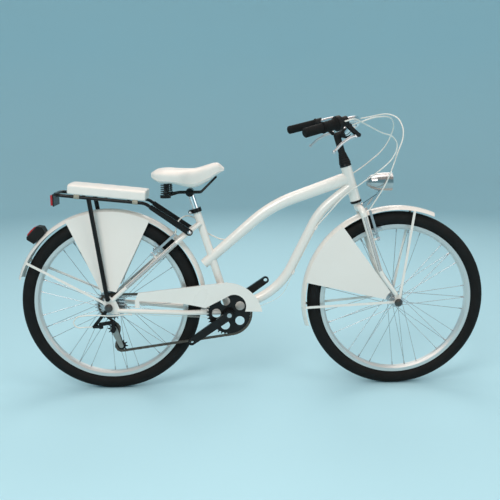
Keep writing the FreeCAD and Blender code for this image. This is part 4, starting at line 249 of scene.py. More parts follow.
# %% The lined paint
lines_group, tree, came, goes = new_group(
    "pin_lines",
    [("Across", FLOAT, 0.0), ("Side", FLOAT, 0.0), ("Along", FLOAT, 0.0), ("Start", FLOAT, 0.0),
     ("End", FLOAT, 1.0), ("Reach", FLOAT, 0.03)],
    [("Dark Lines", FLOAT), ("Grey Band", FLOAT)])
LINE_OFFSET, LINE_HALF, BAND_HALF = 4.2 * MM, 0.8 * MM, 2.4 * MM
LINE_BLACK, BAND_GREY = (0.02, 0.02, 0.022), (0.42, 0.43, 0.44)
width = tree.maths("ABSOLUTE", came["Across"])
from_line = tree.maths("ABSOLUTE", tree.maths("SUBTRACT", width, LINE_OFFSET))
inside = tree.maths("MULTIPLY", tree.maths("GREATER_THAN", came["Along"], came["Start"]),
                    tree.maths("LESS_THAN", came["Along"], came["End"]))
outer = tree.maths("GREATER_THAN", tree.maths("ABSOLUTE", came["Side"]), came["Reach"])
shown = tree.maths("MULTIPLY", inside, outer)
tree.join(tree.maths("MULTIPLY", tree.maths("LESS_THAN", from_line, LINE_HALF), shown), goes["Dark Lines"])
tree.join(tree.maths("MULTIPLY", tree.maths("LESS_THAN", width, BAND_HALF), shown), goes["Grey Band"])


def lined_enamel(name, across, origin, along, start, end, reach):
    """White enamel whose lines run along a direction through an origin point."""
    made = white_enamel(name)
    lines = made.tree.add("ShaderNodeGroup", node_tree=lines_group)
    shift = made.tree.maths("SUBTRACT", made.tree.dot(made.place, across), float(np.dot(origin, across)))
    rise = made.tree.maths("SUBTRACT", made.tree.dot(made.place, along), float(np.dot(origin, along)))
    made.tree.join(shift, lines.inputs["Across"])
    made.tree.join(rise, lines.inputs["Along"])
    made.tree.join(made.tree.dot(made.place, (0, 1, 0)), lines.inputs["Side"])
    for label, value in (("Start", start), ("End", end), ("Reach", reach)):
        lines.inputs[label].default_value = value
    banded = made.tree.mix(lines.outputs["Grey Band"], made.group.outputs["Color"], BAND_GREY)
    made.color(made.tree.mix(lines.outputs["Dark Lines"], banded, LINE_BLACK))
    return made


print("group:", lines_group.name)

# %% [markdown]
# The lines have to follow the slope of the blades and of the stays. Both slopes could be typed in, but the
# solid model knows them: the steering joint gives the fork's axis, and the rear wheel's joint gives the
# axle that the stays rise from.

# %% Lines on the fork and the stays
joints = {joint["name"]: joint for joint in frame["joints"]}


def joint_place(name):
    """A joint's point, in metres, and the direction of its axis."""
    return np.array(joints[name]["pos_m"]), np.array(joints[name]["axis"])


BLADE_LEAD = 8.0 * MM
HEAD_BASE, STEER_UP = joint_place("steering")
STEER_AHEAD = np.array([STEER_UP[2], 0, -STEER_UP[0]])
REAR_AXLE = joint_place("rear_wheel_spin")[0]
blade_middle = HEAD_BASE + STEER_AHEAD * BLADE_LEAD
fork_paint = lined_enamel("fork_enamel", STEER_AHEAD, blade_middle, STEER_UP, start=-0.270, end=-0.060,
                          reach=0.052)
dress(fork_paint, "fork")
stay_foot = REAR_AXLE + np.array([0.012, 0, 0.026])
stay_knee = REAR_AXLE + np.array([0.256, 0, 0.238])
stay_along = (stay_knee - stay_foot) / np.linalg.norm(stay_knee - stay_foot)
stay_across = np.array([-stay_along[2], 0, stay_along[0]])
stay_paint = lined_enamel("seat_stay_enamel", stay_across, stay_foot, stay_along, start=0.070, end=0.310,
                          reach=0.050)
dress(stay_paint, "seat_stays")

# %% [markdown]
# The rack, cranks, chainring and small fittings are black. Most have a thin gloss lacquer; the moulded
# fittings are plain matt plastic with a fine spark texture from the mould. Pure black would swallow every
# edge, so both are very dark greys with a weak shine.

# %% Black lacquer and moulded plastic
lacquer = Finish("black_lacquer", (0.006, 0.006, 0.006), (0.012, 0.012, 0.012), rough=0.26, spread=0.12,
                 cloud_scale=14.0, grain_scale=700.0, grain=0.04, coat=0.1, shine=0.15)
dress(lacquer, "rack", "crank_arms", "chainring", "seat_clamp", "saddle_frame", "bearing_cups",
      "derailleur_bracket")
moulded = Finish("moulded_black", (0.008, 0.008, 0.008), (0.016, 0.016, 0.016), rough=0.48, spread=0.15,
                 cloud_scale=25.0, grain_scale=1500.0, grain=0.15, shine=0.12)
dress(moulded, "lever_brackets", "derailleur_link", "derailleur_knuckle", "guide_pulley",
      "tension_pulley", "tail_light")

# %% [markdown]
# The rubber boot at the stem's foot is folded like a small bellows. The folds are only a millimetre deep,
# so a wave along the steering axis lifts them in the height, and stops where the boot ends.

# %% The stem and its boot
BOOT_TOP, FOLD_PITCH, SKIN_SHARE = 0.172, 9.0 * MM, 0.2
stem_black = Finish("stem_and_boot", (0.008, 0.008, 0.008), (0.016, 0.016, 0.016), rough=0.5, spread=0.15,
                    cloud_scale=25.0, grain_scale=1500.0, grain=0.6, shine=0.12)
work = stem_black.tree
along_stem = work.maths("SUBTRACT", work.dot(stem_black.place, STEER_UP), float(np.dot(HEAD_BASE, STEER_UP)))
folds = work.maths("SINE", work.maths("MULTIPLY", along_stem, math.tau / FOLD_PITCH))
folded = work.maths("MULTIPLY", folds, work.maths("LESS_THAN", along_stem, BOOT_TOP))
skin_height = work.maths("MULTIPLY", stem_black.group.outputs["Height"], SKIN_SHARE)
stem_black.height(work.maths("ADD", folded, skin_height))
dress(stem_black, "stem")

# %% [markdown]
# A tyre's tread repeats round the wheel and its sides have thin raised rings. Both follow the wheel, so the
# pattern needs three numbers: the distance from the axle, the angle round it and the way to the side. They
# could be stored in the mesh, but a group can work them out from the object's coordinates and the axle's
# place, and so the solid's mesh is left alone.

# %% Coordinates round a wheel
wheel_group, tree, came, goes = new_group(
    "round_the_axle", [("Vector", VECTOR, None), ("Axle", VECTOR, (0, 0, 0))],
    [("Radius", FLOAT), ("Angle", FLOAT), ("Side", FLOAT)])
offset = tree.add("ShaderNodeVectorMath", operation="SUBTRACT")
tree.join(came["Vector"], offset.inputs[0])
tree.join(came["Axle"], offset.inputs[1])
parts = tree.add("ShaderNodeSeparateXYZ")
tree.join(offset.outputs[0], parts.inputs[0])
ahead_square, up_square = (tree.maths("POWER", parts.outputs[axis], 2.0) for axis in (0, 2))
tree.join(tree.maths("SQRT", tree.maths("ADD", ahead_square, up_square)), goes["Radius"])
tree.join(tree.maths("ARCTAN2", parts.outputs[2], parts.outputs[0]), goes["Angle"])
tree.join(parts.outputs[1], goes["Side"])


def round_wheel(finish, pattern, axle):
    """Adds a pattern group to a finish and feeds it the wheel's coordinates that it has a socket for."""
    place = finish.tree.add("ShaderNodeGroup", node_tree=wheel_group)
    finish.tree.join(finish.place, place.inputs["Vector"])
    place.inputs["Axle"].default_value = tuple(axle)
    made = finish.tree.add("ShaderNodeGroup", node_tree=pattern)
    for socket in place.outputs:
        if socket.name in made.inputs:
            finish.tree.join(socket, made.inputs[socket.name])
    return made


print("group:", wheel_group.name)

# %% [markdown]
# The tread could be modelled block by block, at the cost of many thousand faces. Its blocks are only a
# millimetre or two high, so a height pattern is enough: slanted waves at the crown, rings below it.

# %% The tread
TREAD_COUNT, TREAD_SLANT, TREAD_FROM, BLOCK_FROM = 130.0, 260.0, 0.321, -0.45
GROOVE_AT, GROOVE_HALF = 6.0 * MM, 1.2 * MM
SIDE_RINGS, RING_SHARE, PORE_SHARE = 1500.0, 0.12, 0.1
tread_group, tree, came, goes = new_group(
    "tyre_tread",
    [("Radius", FLOAT, 0.0), ("Angle", FLOAT, 0.0), ("Side", FLOAT, 0.0), ("Pores", FLOAT, 0.0)],
    [("Height", FLOAT)])
off_middle = tree.maths("ABSOLUTE", came["Side"])
slant = tree.maths("MULTIPLY", off_middle, TREAD_SLANT)
wave = tree.maths("SINE", tree.maths("ADD", tree.maths("MULTIPLY", came["Angle"], TREAD_COUNT), slant))
blocks = tree.maths("GREATER_THAN", wave, BLOCK_FROM)
from_groove = tree.maths("ABSOLUTE", tree.maths("SUBTRACT", off_middle, GROOVE_AT))
groove = tree.maths("GREATER_THAN", from_groove, GROOVE_HALF)
crown = tree.maths("GREATER_THAN", came["Radius"], TREAD_FROM)
tread = tree.maths("MULTIPLY", tree.maths("MULTIPLY", blocks, groove), crown)
waves = tree.maths("SINE", tree.maths("MULTIPLY", came["Radius"], SIDE_RINGS))
rings = tree.maths("MULTIPLY", waves, RING_SHARE)
sides = tree.maths("MULTIPLY", rings, tree.maths("SUBTRACT", 1.0, crown))
pores = tree.maths("MULTIPLY", came["Pores"], PORE_SHARE)
tree.join(tree.maths("ADD", tree.maths("ADD", tread, sides), pores), goes["Height"])
print("group:", tread_group.name)

# %% [markdown]
# Both tyres are the same dull rubber. One material could serve them, but the tread runs round the axle of
# its own wheel, so each tyre has a material that knows its axle.

# %% Tyres
FRONT_AXLE = joint_place("front_wheel_spin")[0]


def tyre_rubber(name, axle):
    """Black rubber: slanted tread blocks at the crown and fine rings on the sides."""
    made = Finish(name, (0.007, 0.007, 0.007), (0.015, 0.0145, 0.014), rough=0.62, spread=0.2,
                  cloud_scale=30.0, grain_scale=900.0, grain=0.5, shine=0.1)
    tread = round_wheel(made, tread_group, axle)
    made.tree.join(made.group.outputs["Height"], tread.inputs["Pores"])
    made.height(tread.outputs["Height"])
    return made


dress(tyre_rubber("front_tyre_rubber", FRONT_AXLE), "front_tyre")
dress(tyre_rubber("rear_tyre_rubber", REAR_AXLE), "rear_tyre")

# %% [markdown]
# The rims are turned aluminium, so their scratches run round the wheel. An image of scratches would need
# the rim laid out flat. Noise that is stretched along the angle and squeezed along the radius needs no such
# map, and looks like fine turning marks.

# %% Rims
MARKS_OUTWARD, MARKS_ROUND, TRACK_FROM = 1200.0, 6.0, 0.271
TRACK_GREY = (0.68, 0.675, 0.66)
marks_group, tree, came, goes = new_group(
    "turning_marks", [("Radius", FLOAT, 0.0), ("Angle", FLOAT, 0.0)],
    [("Height", FLOAT), ("Brake Track", FLOAT)])
joined = tree.add("ShaderNodeCombineXYZ")
tree.join(tree.maths("MULTIPLY", came["Radius"], MARKS_OUTWARD), joined.inputs[0])
tree.join(tree.maths("MULTIPLY", came["Angle"], MARKS_ROUND), joined.inputs[1])
marks = tree.add("ShaderNodeTexNoise", noise_dimensions="2D")
marks.inputs["Scale"].default_value = 1.0
tree.join(joined.outputs[0], marks.inputs["Vector"])
tree.join(marks.outputs[0], goes["Height"])
tree.join(tree.maths("GREATER_THAN", came["Radius"], TRACK_FROM), goes["Brake Track"])


def turned_aluminium(name, axle):
    """Aluminium with fine rings round an axle, and a slightly darker brake track."""
    made = Finish(name, (0.78, 0.775, 0.76), (0.70, 0.695, 0.68), rough=0.36, spread=0.1, cloud_scale=20.0,
                  grain_scale=800.0, grain=0.03, metallic=0.75)
    marks = round_wheel(made, marks_group, axle)
    made.height(marks.outputs["Height"])
    made.color(made.tree.mix(marks.outputs["Brake Track"], made.group.outputs["Color"], TRACK_GREY))
    return made


dress(turned_aluminium("front_rim_aluminium", FRONT_AXLE), "front_rim")
dress(turned_aluminium("rear_rim_aluminium", REAR_AXLE), "rear_rim")

# %% [markdown]
# Bright pieces differ mainly in gloss: chrome is a mirror with faint haze, polished castings are
# softer, plain steel is greyer, and the chain is brown with old oil in its joints. One metal could serve
# them all from far away, but close by each has its own tint, so each has its own finish.

# %% Metals
cast_alloy = Finish("cast_alloy", (0.66, 0.66, 0.67), (0.52, 0.52, 0.53), rough=0.3, spread=0.2,
                    cloud_scale=40.0, grain_scale=900.0, grain=0.08, metallic=0.9)
dress(cast_alloy, "front_hub", "rear_hub", "front_brake_arm_left", "front_brake_arm_right",
      "rear_brake_arm_left", "rear_brake_arm_right", "brake_lever_left", "brake_lever_right")
wire_steel = Finish("wire_steel", (0.62, 0.62, 0.63), (0.45, 0.45, 0.46), rough=0.25, spread=0.2,
                    cloud_scale=60.0, grain_scale=1200.0, grain=0.05, metallic=1.0)
dress(wire_steel, "front_spokes", "rear_spokes", "freewheel_cogs", "crank_spindle")
cage_alloy = Finish("cage_alloy", (0.40, 0.38, 0.35), (0.26, 0.245, 0.225), rough=0.34, spread=0.2,
                    cloud_scale=60.0, grain_scale=900.0, grain=0.08, metallic=0.85)
dress(cage_alloy, "derailleur_cage")
dark_steel = Finish("dark_steel", (0.05, 0.05, 0.05), (0.09, 0.085, 0.08), rough=0.4, spread=0.2,
                    cloud_scale=40.0, grain_scale=900.0, grain=0.08, metallic=0.6)
dress(dark_steel, "front_axle", "rear_axle")
oiled_chain = Finish("oiled_chain", (0.16, 0.125, 0.10), (0.06, 0.05, 0.043), rough=0.38, spread=0.3,
                     cloud_scale=120.0, grain_scale=900.0, grain=0.15, metallic=0.8)
dress(oiled_chain, "chain")
chrome = Finish("chrome_plate", (0.82, 0.82, 0.83), (0.72, 0.72, 0.74), rough=0.08, spread=0.08,
                cloud_scale=12.0, grain_scale=500.0, grain=0.01, metallic=1.0)
dress(chrome, "seatpost", "handlebar", "headlight_bracket")
lamp_chrome = Finish("lamp_chrome", (0.60, 0.595, 0.59), (0.40, 0.40, 0.405), rough=0.17, spread=0.14,
                     cloud_scale=30.0, grain_scale=500.0, grain=0.02, metallic=1.0)
dress(lamp_chrome, "headlight")

# %% [markdown]
# The grips are ribbed rubber. The ribs lie across the bar, so their wave has to run along it. They could
# be modelled one by one, but they are lower than a millimetre, so a height pattern is enough. Both bar
# ends sweep back alike, and one wave serves both: it counts the way ahead, less the way out to the side.
# The cable covers are smooth plastic in a slightly yellowed white.

# %% Grips and cable covers
BAR_AHEAD, AHEAD_SHARE, OUTWARD_SHARE = (1, 0, 0.2), 0.8, -0.55
ribs_group, tree, came, goes = new_group(
    "bar_ribs", [("Vector", VECTOR, None), ("Pitch", FLOAT, 4.0 * MM), ("Grain", FLOAT, 0.0)],
    [("Height", FLOAT)])
outward = tree.maths("ABSOLUTE", tree.dot(came["Vector"], (0, 1, 0)))
ahead = tree.maths("MULTIPLY", tree.dot(came["Vector"], BAR_AHEAD), AHEAD_SHARE)
along = tree.maths("ADD", ahead, tree.maths("MULTIPLY", outward, OUTWARD_SHARE))
wave = tree.maths("SINE", tree.maths("MULTIPLY", tree.maths("DIVIDE", along, came["Pitch"]), math.tau))
tree.join(tree.maths("ADD", wave, came["Grain"]), goes["Height"])


def ribbed_rubber(name, pitch):
    """Matt rubber with ribs a pitch apart along the swept-back bar ends."""
    made = Finish(name, (0.008, 0.008, 0.008), (0.016, 0.016, 0.016), rough=0.7, spread=0.15,
                  cloud_scale=40.0, grain_scale=1500.0, grain=0.6, shine=0.12)
    ribs = made.tree.add("ShaderNodeGroup", node_tree=ribs_group)
    ribs.inputs["Pitch"].default_value = pitch
    made.tree.join(made.place, ribs.inputs["Vector"])
    made.tree.join(made.group.outputs["Height"], ribs.inputs["Grain"])
    made.height(ribs.outputs["Height"])
    return made


dress(ribbed_rubber("grip_rubber", 4.0 * MM), "grips")
dress(ribbed_rubber("shifter_rubber", 3.0 * MM), "shifter_grip")
cover = Finish("cable_cover", (0.78, 0.765, 0.72), (0.68, 0.66, 0.61), rough=0.35, spread=0.1,
               cloud_scale=30.0, grain_scale=900.0, grain=0.05, coat=0.3)
dress(cover, "front_brake_cable", "frame_cables")

# %% [markdown]
# Two cable covers leave the bar and end at stops on the frame, so they cross the steering joint. A stiff
# piece would swing off its stops when the bar turns. A copy of their skin takes their place here.

# %% A copy of the cables
MERGE_REACH, SHARP_ANGLE = 0.001 * MM, math.radians(35)


def skin_of(name, node, finish):
    """A free copy of a solid's skin, its loose triangles joined; it may bend where the solid may not."""
    mesh = bpy.data.meshes.new(name)
    joined = bmesh.new()
    joined.from_mesh(nodes[node].data)
    bmesh.ops.remove_doubles(joined, verts=joined.verts[:], dist=MERGE_REACH)
    joined.to_mesh(mesh)
    joined.free()
    # The solid's stored normals belong to the loose triangles, so the joined skin gets its own.
    if "custom_normal" in mesh.attributes:
        mesh.attributes.remove(mesh.attributes["custom_normal"])
    mesh.shade_smooth()
    mesh.set_sharp_from_angle(angle=SHARP_ANGLE)
    mesh.materials.append(finish.material)
    made = bpy.data.objects.new(name, mesh)
    bpy.context.scene.collection.objects.link(made)
    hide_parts(node)
    print(name, len(made.data.polygons), "faces")
    return made


bending_cables = skin_of("bending_cables", "steering_cables", cover)
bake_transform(bending_cables)

# %% [markdown]
# The red lenses have small corner prisms behind a smooth face, and the headlight's lens is clear with
# upright ribs. The prisms could be cut one by one, but at this size a pattern of cells in the height, under
# a clear coat, looks the same. The headlight's lens is glass with a wave for its ribs.

# %% Lenses
PRISM_SCALE, RIB_DENSITY, LIGHT_PASSED = 260.0, 1400.0, 0.75
red_lens = Finish("red_lens", (0.55, 0.012, 0.015), (0.35, 0.006, 0.01), rough=0.15, spread=0.05,
                  cloud_scale=60.0, grain_scale=500.0, grain=0.3, coat=0.6)
cells = red_lens.tree.add("ShaderNodeTexVoronoi")
cells.inputs["Scale"].default_value = PRISM_SCALE
red_lens.tree.join(red_lens.place, cells.inputs["Vector"])
red_lens.height(cells.outputs["Distance"])
dress(red_lens, "rear_lenses")
clear_lens = Finish("clear_lens", (0.93, 0.94, 0.95), (0.9, 0.92, 0.93), rough=0.06, spread=0.04,
                    cloud_scale=40.0, grain_scale=400.0, grain=0.2)
clear_lens.shader.inputs["Transmission Weight"].default_value = LIGHT_PASSED
lens_side = clear_lens.tree.dot(clear_lens.place, (0, 1, 0))
clear_lens.height(clear_lens.tree.maths("SINE", clear_lens.tree.maths("MULTIPLY", lens_side, RIB_DENSITY)))
dress(clear_lens, "headlight_lens")

# %% [markdown]
# The saddle and the rack's pad are surfaces of two numbers: one runs along the piece and picks its width
# and height from a table, and the other runs round the section. Straight lines between the table's rows
# would leave creases, so the rows are joined by smooth pieces that never overshoot.


# %% A smooth table
def smooth_table(table, count):
    """Rows of a table between its first and last key: cubic pieces whose end slopes are the harmonic
    mean of the two neighbours, so the curve never overshoots. Rows crowd towards both ends."""
    table = np.array(table, float)
    keys, values = table[:, 0], table[:, 1:]
    steps, rises = np.diff(keys)[:, None], np.diff(values, axis=0)
    slopes = rises / steps
    both = slopes[:-1] * slopes[1:]
    inner = np.where(both > 0, 2 * both / (slopes[:-1] + slopes[1:] + 1e-12), 0)
    tangents = np.concatenate([slopes[:1], inner, slopes[-1:]])
    where = (1 - np.cos(np.linspace(0, np.pi, count))) / 2
    place = np.clip(np.searchsorted(keys, where, side="right") - 1, 0, len(keys) - 2)
    t = ((where - keys[place]) / np.diff(keys)[place])[:, None]
    span = steps[place]
    start, end = 2 * t ** 3 - 3 * t ** 2 + 1, 3 * t ** 2 - 2 * t ** 3
    leave, arrive = (t ** 3 - 2 * t ** 2 + t) * span, (t ** 3 - t ** 2) * span
    return where, (start * values[place] + end * values[place + 1]
                   + leave * tangents[place] + arrive * tangents[place + 1])


print("tables can be smoothed")

# %% [markdown]
# Every new piece is a grid of points, with rows along it and columns round it. Four neighbours make one
# face. The two ends are closed by a flat cap, or joined to each other where the piece is a ring, and only
# the studio's floor is left open.


# %% A mesh from a grid
def grid_mesh(name, points, capped=True, looped=False):
    """A mesh from a grid of points whose columns close round it: capped ends, or a last row that joins
    the first."""
    rows, columns = points.shape[:2]
    index = np.arange(rows * columns).reshape(rows, columns)
    along = np.concatenate([index, index[:1]]) if looped else index
    right = np.roll(along, -1, axis=1)
    quads = np.stack([along[:-1], right[:-1], right[1:], along[1:]], axis=-1).reshape(-1, 4)
    faces = quads.tolist()
    if capped and not looped:
        faces += [index[0][::-1].tolist(), index[-1].tolist()]
    mesh = bpy.data.meshes.new(name)
    mesh.from_pydata(points.reshape(-1, 3).tolist(), [], faces)
    mesh.shade_smooth()
    made = bpy.data.objects.new(name, mesh)
    bpy.context.scene.collection.objects.link(made)
    print(name, len(faces), "faces")
    return made


print("grids can be meshed")

# %% [markdown]
# A cushion's section is neither a box nor an oval. Foam pushes the cover out between its seams, so the
# corners are round but the sides stay almost flat. A circle whose two parts are raised to small powers
# gives that shape, and each side can be as square or as round as the real one.


# %% A cushion's section
def cushion_ring(count, side_power, top_power, base_power):
    """Unit sections round a cushion: x across from -1 to 1 and z from -1 to 1.

    The outline is a rounded box: cosine and sine raised to small powers, and a smaller power gives
    squarer corners, chosen apart for the sides, the top and the base."""
    turn = np.linspace(0, 2 * np.pi, count, endpoint=False)
    across, up = np.cos(turn), np.sin(turn)
    x = np.sign(across) * np.abs(across) ** side_power
    z = np.sign(up) * np.abs(up) ** np.where(up > 0, top_power, base_power)
    return x, z


print("cushions have a section")

# %% [markdown]
# The saddle is foam under stretched white vinyl: broad at the back, narrow at the nose, crowned on top and
# drawn in under its skirt. With those helpers it is one table, whose rows give the width, the height and
# the floor from the tail to the nose. Sculpting would look as good, but a table is easy to change and
# keeps both sides alike.

# %% The saddle
SADDLE_ROWS, SADDLE_COLUMNS = 90, 96
SADDLE_REAR, SADDLE_LENGTH, SADDLE_WIDTH = REAR_AXLE[0] + 0.166, 0.257, 0.214
SADDLE_BASE, SADDLE_RISE, SADDLE_HEIGHT = 0.762, 0.056, 0.052
HALF_SHARE, CROWN_SHARE, DRAW_SHARE = 0.46, 0.04, 0.05
DISH_DEPTH, DISH_HALF, DISH_MIDDLE, DISH_REACH = 3.5 * MM, 30.0 * MM, 0.28, 0.22
SKIRT_DEPTH, SKIRT_MIDDLE, SKIRT_REACH = 8.0 * MM, 0.58, 0.19
SPRING_TOP, SEAT_MIDDLE, SEAT_REACH = 0.7757, 0.187, 0.1
saddle_shares = [
    (0.0, 0.62, 0.36, 0.60), (0.06, 0.86, 0.72, 0.41), (0.2, 1.0, 0.93, 0.28), (0.36, 0.92, 1.04, 0.14),
    (0.55, 0.56, 1.2, 0.0), (0.75, 0.34, 1.16, 0.24), (0.9, 0.29, 0.84, 0.68), (1.0, 0.16, 0.2, 0.95)]


def bell(along, middle, reach, power=2):
    """A bump of height one: the distance from the middle as a share of the reach, raised to a power, and
    then e to the minus of that."""
    return np.exp(-((along - middle) / reach) ** power)


def saddle_points(rows, columns):
    """The saddle's skin: width, height and floor follow the shares, and the section is a rounded box with
    a crown. One bell dishes the top, one lowers the skirt between the springs and the nose, and one with
    a flat top brings the underside down to the springs."""
    along, shares = smooth_table(saddle_shares, rows)
    along = along[:, None]
    x, z = cushion_ring(columns, side_power=0.5, top_power=0.6, base_power=0.3)
    above, below = z > 0, np.clip(-z, 0, 1)
    height = SADDLE_HEIGHT * shares[:, 1:2]
    floor = SADDLE_BASE + SADDLE_RISE * shares[:, 2:3]
    across = SADDLE_WIDTH / 2 * shares[:, :1] * x * (1 - DRAW_SHARE * below)
    crown = CROWN_SHARE * height * (1 - x ** 2) * above
    dish = DISH_DEPTH * bell(across, 0, DISH_HALF) * bell(along, DISH_MIDDLE, DISH_REACH) * above
    skirt = SKIRT_DEPTH * bell(along, SKIRT_MIDDLE, SKIRT_REACH) * below
    middle = floor + height / 2
    settle = (middle - height * HALF_SHARE - SPRING_TOP) * bell(along, SEAT_MIDDLE, SEAT_REACH, 4) * below
    level = middle + height * HALF_SHARE * z + crown - dish - skirt - settle
    reach = SADDLE_REAR + SADDLE_LENGTH * along + 0 * across
    return np.stack([reach, across, level], axis=-1)


saddle_grid = saddle_points(SADDLE_ROWS, SADDLE_COLUMNS)
saddle_skin = grid_mesh("saddle_cover", saddle_grid)
saddle_vinyl = Finish("saddle_vinyl", (0.80, 0.752, 0.705), (0.755, 0.706, 0.655), rough=0.42, spread=0.12,
                      cloud_scale=14.0, grain_scale=900.0, grain=0.35, coat=0.1)
saddle_skin.data.materials.append(saddle_vinyl.material)
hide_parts("saddle")
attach(saddle_skin, "saddle")

# %% [markdown]
# The cover's lower edge is finished with a thin welt. It follows the widest line of the cover a little below
# its middle. A curve with a bevel would do, but the cover's own grid already holds that line, so a small
# tube is carried along it.


# %% The saddle's welt
def tube_round(name, path, radius, columns):
    """A round tube on a closed path: each ring sits square to the path's tangent, which is the line from the
    point before to the point after."""
    ahead = np.roll(path, -1, axis=0) - np.roll(path, 1, axis=0)
    ahead /= np.linalg.norm(ahead, axis=1, keepdims=True)
    side = np.cross(ahead, (0.0, 0.0, 1.0))
    side /= np.linalg.norm(side, axis=1, keepdims=True)
    up = np.cross(side, ahead)
    turn = np.linspace(0, 2 * np.pi, columns, endpoint=False)
    ring = side[:, None] * np.cos(turn)[:, None] - up[:, None] * np.sin(turn)[:, None]
    return grid_mesh(name, path[:, None] + radius * ring, looped=True)


WELT_RADIUS, WELT_SIDES, WELT_DROP, WELT_SKIP = 1.3 * MM, 10, 2, 4
welt_rows = saddle_grid[WELT_SKIP:-WELT_SKIP]
right_edge, left_edge = welt_rows[:, -WELT_DROP], welt_rows[:, SADDLE_COLUMNS // 2 + WELT_DROP]
welt_path = np.concatenate([right_edge, left_edge[::-1]])
welt = tube_round("saddle_welt", welt_path, WELT_RADIUS, WELT_SIDES)
welt.data.materials.append(saddle_vinyl.material)
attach(welt, "saddle")

# %% [markdown]
# Two coil springs under the saddle shorten as the rider sits down. A copy of the coils takes their place
# and rides with the seatpost. A real coil would also turn a little, which is too small to see.

# %% A copy of the springs
springs = skin_of("pressed_springs", "saddle_springs", lacquer)
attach(springs, "seatpost")
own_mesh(springs)

# %% [markdown]
# The rack's pad is a flat cushion of the same vinyl on the rack's sloping top. It could be a box with
# a bevel, but foam never lies quite flat: a rounded box with a low crown and a slow ripple looks softer.

# %% The rack pad
RACK_REAR, RACK_FRONT, RACK_REAR_Z, RACK_FRONT_Z = -0.180, 0.140, 0.740, 0.706
PAD_REAR, PAD_LENGTH, PAD_WIDTH, PAD_HEIGHT, PAD_LIFT = -0.133, 0.274, 0.142, 0.038, 0.0064
PAD_ROWS, PAD_COLUMNS = 110, 120
FULL_SHARE, FLAT_SHARE, MIDDLE_SHARE, PAD_CROWN_SHARE = 0.98, 0.95, 0.48, 0.05
RIPPLE_HEIGHT, RIPPLE_TURNS, RIPPLE_SLANT = 0.5 * MM, 37.0, 2.0
rack_slope = np.array([RACK_FRONT - RACK_REAR, 0, RACK_FRONT_Z - RACK_REAR_Z])
rack_along = rack_slope / np.linalg.norm(rack_slope)
rack_up = np.array([-rack_along[2], 0, rack_along[0]])
pad_shares = [
    (0.0, 0.93, 0.84), (0.006, 0.965, 0.92), (0.02, 0.985, 0.965), (0.06, 1.0, 0.99), (0.5, 1.0, 1.0),
    (0.94, 1.0, 0.99), (0.98, 0.985, 0.965), (0.994, 0.965, 0.92), (1.0, 0.93, 0.84)]


def rack_height(reach):
    """The height of the rack's rails: a straight line from its rear end to its front end."""
    return RACK_REAR_Z + (RACK_FRONT_Z - RACK_REAR_Z) * (reach - RACK_REAR) / (RACK_FRONT - RACK_REAR)


def pad_points(rows, columns):
    """The pad's skin: a square-edged box on the rack's slope, crowned across. The slack ripple is a slanted
    sine along the pad that dies out at both ends."""
    along, shares = smooth_table(pad_shares, rows)
    along = along[:, None]
    x, z = cushion_ring(columns, side_power=0.26, top_power=0.26, base_power=0.2)
    ripple = RIPPLE_HEIGHT * np.sin(along * RIPPLE_TURNS + RIPPLE_SLANT * x) * np.sin(np.pi * along)
    across = PAD_WIDTH / 2 * shares[:, :1] * FULL_SHARE * x + ripple * x
    half_height = PAD_HEIGHT / 2 * shares[:, 1:2] * FLAT_SHARE
    crown = PAD_CROWN_SHARE * PAD_HEIGHT * (1 - x ** 2) * (z > 0)
    level = PAD_HEIGHT * MIDDLE_SHARE + half_height * z + crown + ripple * (z > 0)
    reach = PAD_REAR + PAD_LENGTH * along + 0 * across
    spot = np.stack([reach + REAR_AXLE[0], across, rack_height(reach)], axis=-1)
    return spot + (level + PAD_LIFT)[..., None] * rack_up


pad = grid_mesh("rack_cushion", pad_points(PAD_ROWS, PAD_COLUMNS))
pad_vinyl = Finish("pad_vinyl", (0.82, 0.772, 0.725), (0.775, 0.727, 0.675), rough=0.4, spread=0.12,
                   cloud_scale=16.0, grain_scale=900.0, grain=0.35, coat=0.15)
pad.data.materials.append(pad_vinyl.material)
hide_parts("rack_pad")
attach(pad, "frame")

# %% [markdown]
# Four short webbing loops tie the pad's underside to the rack's two rails. A loop is a flat band
# round the rail: an upright oval carried over the band's width. The weave is in its finish.

# %% Webbing loops
LOOP_HALF, LOOP_OUT, LOOP_UP, LOOP_LIFT = 9.5 * MM, 7.6 * MM, 9.5 * MM, 2.2 * MM
LOOP_ROWS, LOOP_COLUMNS, EDGE_SHARE = 7, 28, 0.03
LOOP_REACHES, RAIL_SPREAD = (-0.099, 0.106), 0.062
WARP_DENSITY, WEFT_DENSITY = 5200.0, 3800.0
webbing = Finish("strap_webbing", (0.50, 0.45, 0.36), (0.42, 0.37, 0.29), rough=0.75, spread=0.1,
                 cloud_scale=60.0, grain_scale=900.0, grain=0.5)
work = webbing.tree
warp = work.maths("SINE", work.maths("MULTIPLY", work.dot(webbing.place, (1, 0, 0)), WARP_DENSITY))
weft = work.maths("SINE", work.maths("MULTIPLY", work.dot(webbing.place, (0, 0.7, 0.7)), WEFT_DENSITY))
webbing.height(work.maths("ADD", warp, weft))


def loop_points(reach, side):
    """A band round the rail: an oval that loses a small share of its size with the square of the way from
    the middle of its width."""
    width = np.linspace(-1, 1, LOOP_ROWS)[:, None]
    turn = np.linspace(0, 2 * np.pi, LOOP_COLUMNS, endpoint=False)[None, :]
    full = 1 - EDGE_SHARE * width ** 2
    middle = np.array([reach + REAR_AXLE[0], side * RAIL_SPREAD, rack_height(reach)])
    out = LOOP_OUT * full * np.cos(turn)
    up = LOOP_LIFT + LOOP_UP * full * np.sin(turn)
    return (middle + rack_along * (LOOP_HALF * (width + 0 * turn))[..., None]
            + np.array([0, 1.0, 0]) * out[..., None] + rack_up * up[..., None])


